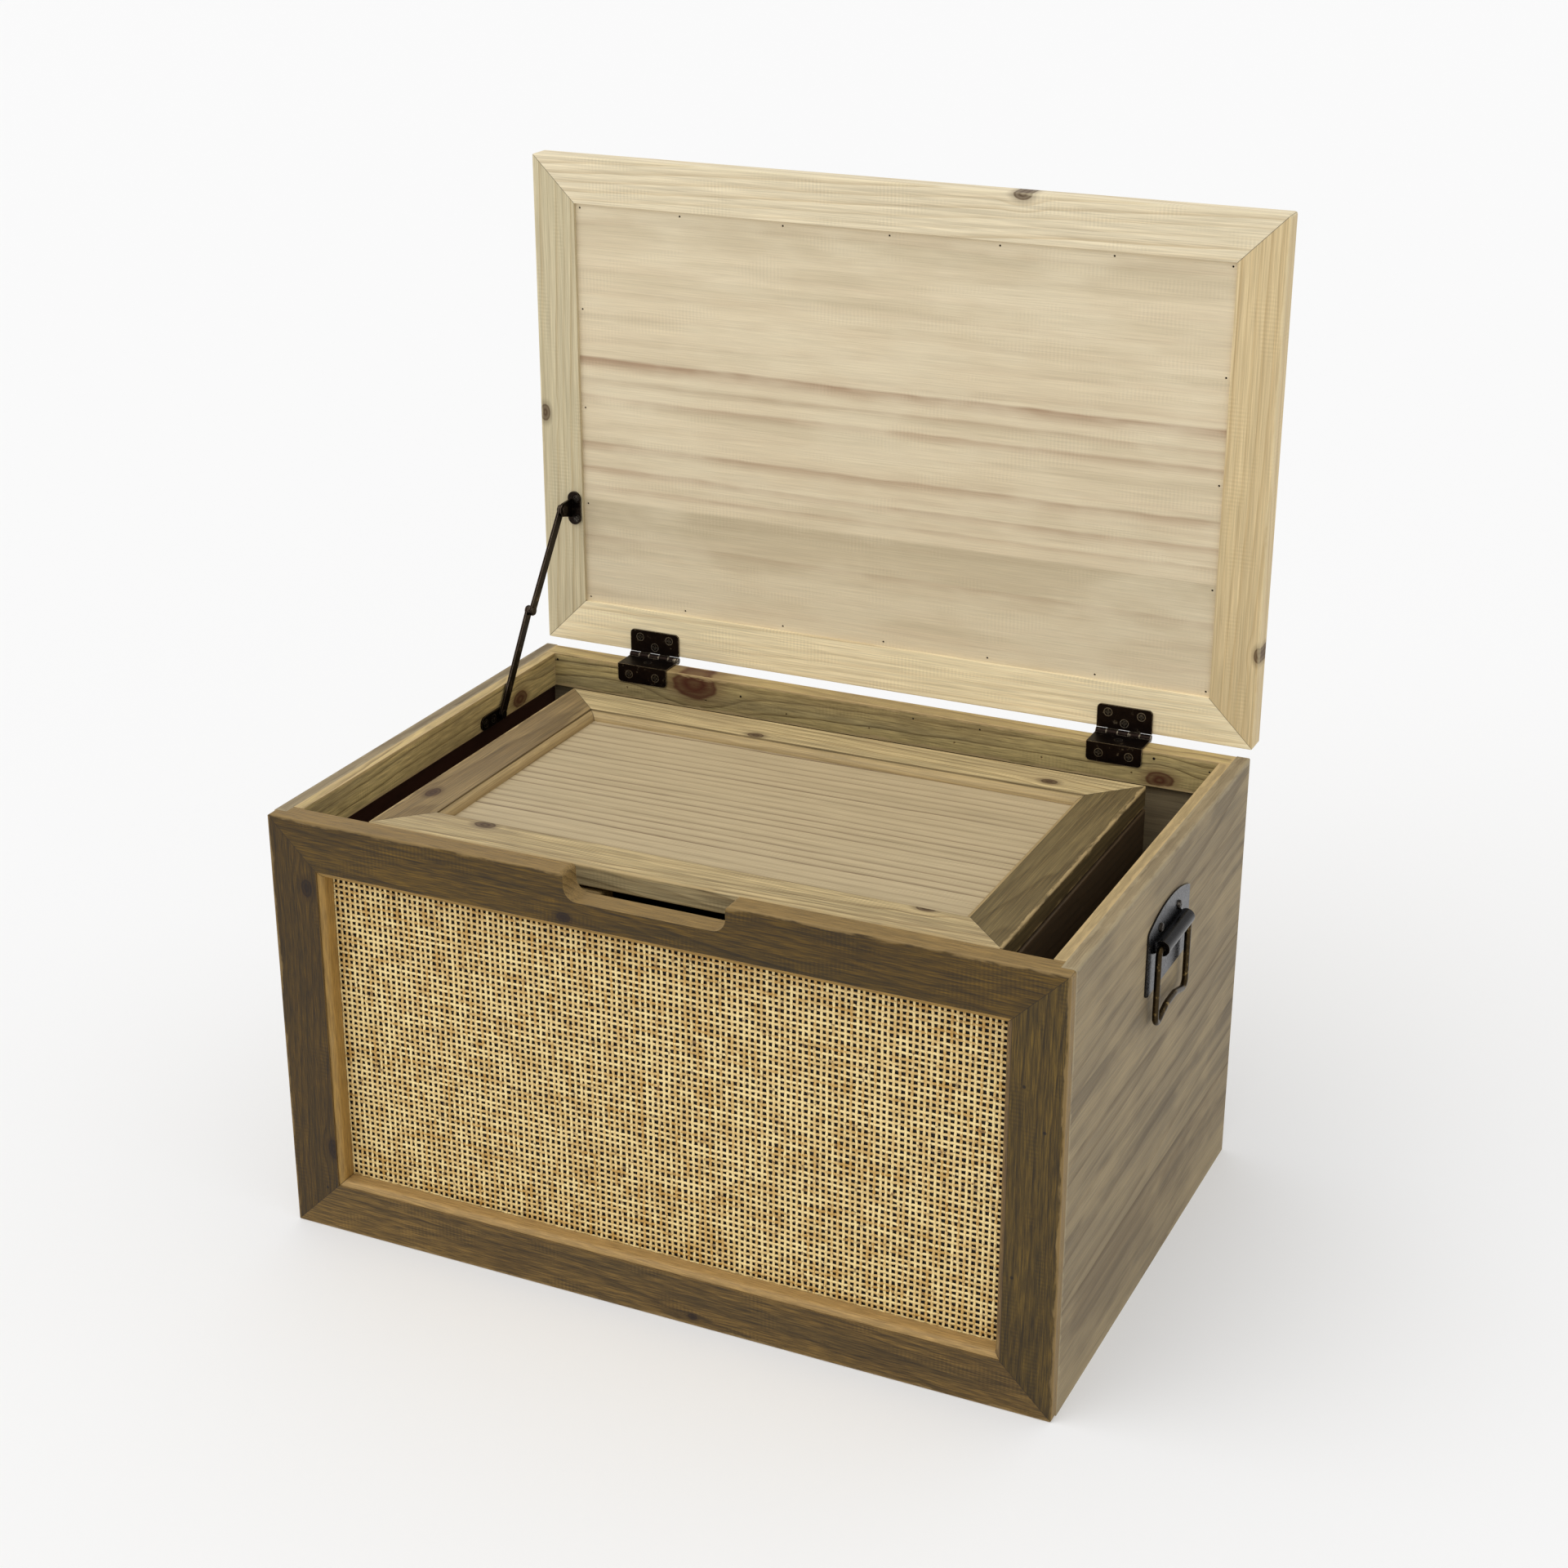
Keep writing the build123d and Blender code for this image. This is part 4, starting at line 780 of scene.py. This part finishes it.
class CHEST_OT_cane(bpy.types.Operator):
    """Weaves the upright and level strands of cane for both fronts"""

    bl_idname = "chest.cane"
    bl_label = "Weave cane"

    def execute(self, context):
        chosen = settings()
        tree = strand_tree()
        colours = [(*chosen.cane_pale, 1.0), (*chosen.cane_tan, 1.0), (*chosen.cane_node, 1.0)]
        material = cane_material("split_rattan_cane", *colours)
        for node, body, prefix in (("cane_panel", "carcass", ""), ("nested_cane_panel", "nested_chest", "nested_")):
            low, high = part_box(node)
            width, height = high.x - low.x, high.z - low.z
            middle = (low + high) / 2
            flat = dict([
                ("Strand thickness", chosen.strand_thickness), ("Strand width", chosen.strand_width),
                ("Lift", chosen.strand_thickness * CANE_LIFT), ("Wander", CANE_WANDER), ("Material", material),
            ])
            # The local XY plane is laid upright, facing the front, along the run of each set of strands.
            level = Matrix(((1, 0, 0), (0, 0, -1), (0, 1, 0)))
            upright = Matrix(((0, 1, 0), (0, 0, -1), (-1, 0, 0)))
            sets = [
                ("weft", level, width, height, chosen.weft_pitch, chosen.warp_pitch, 0.0, 1),
                ("warp", upright, height, width, chosen.warp_pitch, chosen.weft_pitch, 1.0, 2),
            ]
            for label, turn, run, spread, own_pitch, crossing_pitch, phase, more in sets:
                values = dict(flat)
                values.update({
                    "Run": run, "Spread": spread, "Strand pitch": own_pitch, "Crossing pitch": crossing_pitch,
                    "Phase": phase, "Seed": chosen.seed + more,
                })
                piece = grow(f"{prefix}cane_{label}", tree, values)
                piece.data.transform(Matrix.Translation(middle) @ turn.to_4x4())
                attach(piece, body)
                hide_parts(node)
        return {"FINISHED"}


class CHEST_OT_pin_nails(bpy.types.Operator):
    """Drives the small pin nails along the inside of the back rail"""

    bl_idname = "chest.pin_nails"
    bl_label = "Drive pin nails"

    def execute(self, context):
        chosen = settings()
        tree = pin_tree()
        material = metal("blued_steel_pin", "#1c1713", "#6f675c", 0.5, wear=0.2)
        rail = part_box("back_rail")[0]
        points = [(x, rail.y, rail.z + PIN_RISE + z) for x, z in PIN_PLACES]
        values = {
            "Head radius": chosen.pin_radius, "Head height": PIN_HEIGHT, "Facing": (0.0, -1.0, 0.0),
            "Seed": chosen.seed, "Material": material,
        }
        piece = grow("pin_nails", tree, values, points)
        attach(piece, "carcass")
        return {"FINISHED"}


class CHEST_OT_hardware(bpy.types.Operator):
    """Finishes the hinges, the handles, the folding stay and the screws"""

    bl_idname = "chest.hardware"
    bl_label = "Finish hardware"

    def execute(self, context):
        # Bronze and browned steel are dark and satin, rubbed bright on their edges. Lacquer is smooth and bluish
        # black. The brass wire has dulled to brown, and the blackened screws shine only on their rims.
        bronze = metal("oil_rubbed_bronze", "#221a16", "#b9ab92", 0.42, mottle=5.0, wear=0.9, rub_size=0.6)
        lacquer = metal("lacquered_steel", "#34353a", "#8f8878", 0.25, mottle=9.0, wear=0.5, rub_size=0.5,
                        roll=PLATE_ROLL)
        brass = metal("antique_brass_wire", "#3a2f1e", "#b89a5e", 0.32, mottle=4.0, wear=0.9, rub_size=0.8)
        stay = metal("browned_steel", "#221b17", "#8a7c69", 0.38, mottle=7.0, wear=0.8, rub_size=0.4)
        screw = metal("blackened_screw", "#2c2723", "#a39b8d", 0.36, mottle=3.0, wear=0.9, rub_size=0.4)
        nail = metal("blued_steel_nail", "#2a2420", "#7d7468", 0.5, mottle=3.0, wear=0.4, rub_size=0.3)
        finishes = {"hinge_metal": bronze, "plate_metal": lacquer, "wire_metal": brass, "stay_metal": stay,
                    "screw_metal": screw, "nail_metal": nail}
        for node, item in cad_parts.items():
            packed = item.material_slots[0].material.name.split(".")[0]
            if packed in finishes:
                finish(node, finishes[packed])
        return {"FINISHED"}


# The stage: an even white surround, one broad soft lamp and a long lens. Places are in metres, and the camera looks
# from its azimuth, counted from the front towards the right, and its elevation, both in radians.

FLOOR_REACH = 40.0
FLOOR_ROUGHNESS = 0.9
FLOOR_GLOW = 0.24
SURROUND_STRENGTH = 0.82
LAMP_FROM = (-0.40, -0.45, 0.80)
LAMP_STRENGTH = 0.95
LAMP_SPREAD = math.radians(60.0)
CAMERA_PLACE = (0.66453, -1.40550, 0.93424)
CAMERA_AZIMUTH = 0.4389
CAMERA_ELEVATION = 0.3954
CAMERA_LENS = 61.337
CAMERA_SENSOR = 36
CAMERA_FAR = 200


class CHEST_OT_stage(bpy.types.Operator):
    """Sets the pale floor, the soft light and the camera"""

    bl_idname = "chest.stage"
    bl_label = "Set the stage"

    def execute(self, context):
        scene = bpy.context.scene
        scene.view_settings.view_transform = "Standard"
        floor_mesh = bpy.data.meshes.new("floor")
        signs = ((-1, -1), (1, -1), (1, 1), (-1, 1))
        floor_mesh.from_pydata([(x * FLOOR_REACH, y * FLOOR_REACH, 0) for x, y in signs], [], [(0, 1, 2, 3)])
        floor = bpy.data.objects.new("floor", floor_mesh)
        scene.collection.objects.link(floor)
        material = new_material("matt_studio_floor")
        colour = (*settings().floor_colour, 1.0)
        shader = add(material.node_tree, "ShaderNodeBsdfPrincipled", colour, 0.0, FLOOR_ROUGHNESS).node
        shader.inputs["Emission Color"].default_value = (1.0, 1.0, 1.0, 1.0)
        shader.inputs["Emission Strength"].default_value = FLOOR_GLOW
        close_material(material.node_tree, shader)
        floor_mesh.materials.append(material)

        world = bpy.data.worlds.new("studio")
        world.use_nodes = True
        surround = world.node_tree.nodes["Background"].inputs
        surround["Color"].default_value = (1, 1, 1, 1)
        surround["Strength"].default_value = SURROUND_STRENGTH
        scene.world = world

        lamp = bpy.data.lights.new("high_softbox", "SUN")
        lamp.energy = LAMP_STRENGTH
        lamp.angle = LAMP_SPREAD
        holder = bpy.data.objects.new("high_softbox", lamp)
        holder.rotation_mode = "QUATERNION"
        holder.rotation_quaternion = Vector(LAMP_FROM).to_track_quat("Z", "Y")
        scene.collection.objects.link(holder)

        camera = bpy.data.cameras.new("camera")
        camera.lens = CAMERA_LENS
        camera.sensor_width = CAMERA_SENSOR
        camera.clip_end = CAMERA_FAR
        holder = bpy.data.objects.new("camera", camera)
        level = math.cos(CAMERA_ELEVATION)
        back = Vector((
            math.sin(CAMERA_AZIMUTH) * level, -math.cos(CAMERA_AZIMUTH) * level, math.sin(CAMERA_ELEVATION)))
        holder.location = CAMERA_PLACE
        holder.rotation_mode = "QUATERNION"
        holder.rotation_quaternion = (-back).to_track_quat("-Z", "Y")
        scene.collection.objects.link(holder)
        scene.camera = holder
        return {"FINISHED"}


STEPS = (
    CHEST_OT_stage, CHEST_OT_front_frame, CHEST_OT_carcass, CHEST_OT_lid, CHEST_OT_nested_chest, CHEST_OT_cane,
    CHEST_OT_pin_nails, CHEST_OT_hardware,
)


class CHEST_PT_sidebar(bpy.types.Panel):
    """The chest's sizes, colours and steps"""

    bl_idname = "CHEST_PT_sidebar"
    bl_label = "Nested cane chest"
    bl_space_type = "VIEW_3D"
    bl_region_type = "UI"
    bl_category = "Chest"

    def draw(self, context):
        chosen = context.scene.chest_settings
        for name in ChestSettings.__annotations__:
            self.layout.prop(chosen, name)
        for step in STEPS:
            self.layout.operator(step.bl_idname)


CLASSES = (ChestSettings, *STEPS, CHEST_PT_sidebar)


def register():
    for item in CLASSES:
        bpy.utils.register_class(item)
    bpy.types.Scene.chest_settings = bpy.props.PointerProperty(type=ChestSettings)


def unregister():
    del bpy.types.Scene.chest_settings
    for item in reversed(CLASSES):
        bpy.utils.unregister_class(item)


def main():
    register()
    for step in STEPS:
        section, action = step.bl_idname.split(".")
        getattr(getattr(bpy.ops, section), action)()


if __name__ == "__main__":
    main()
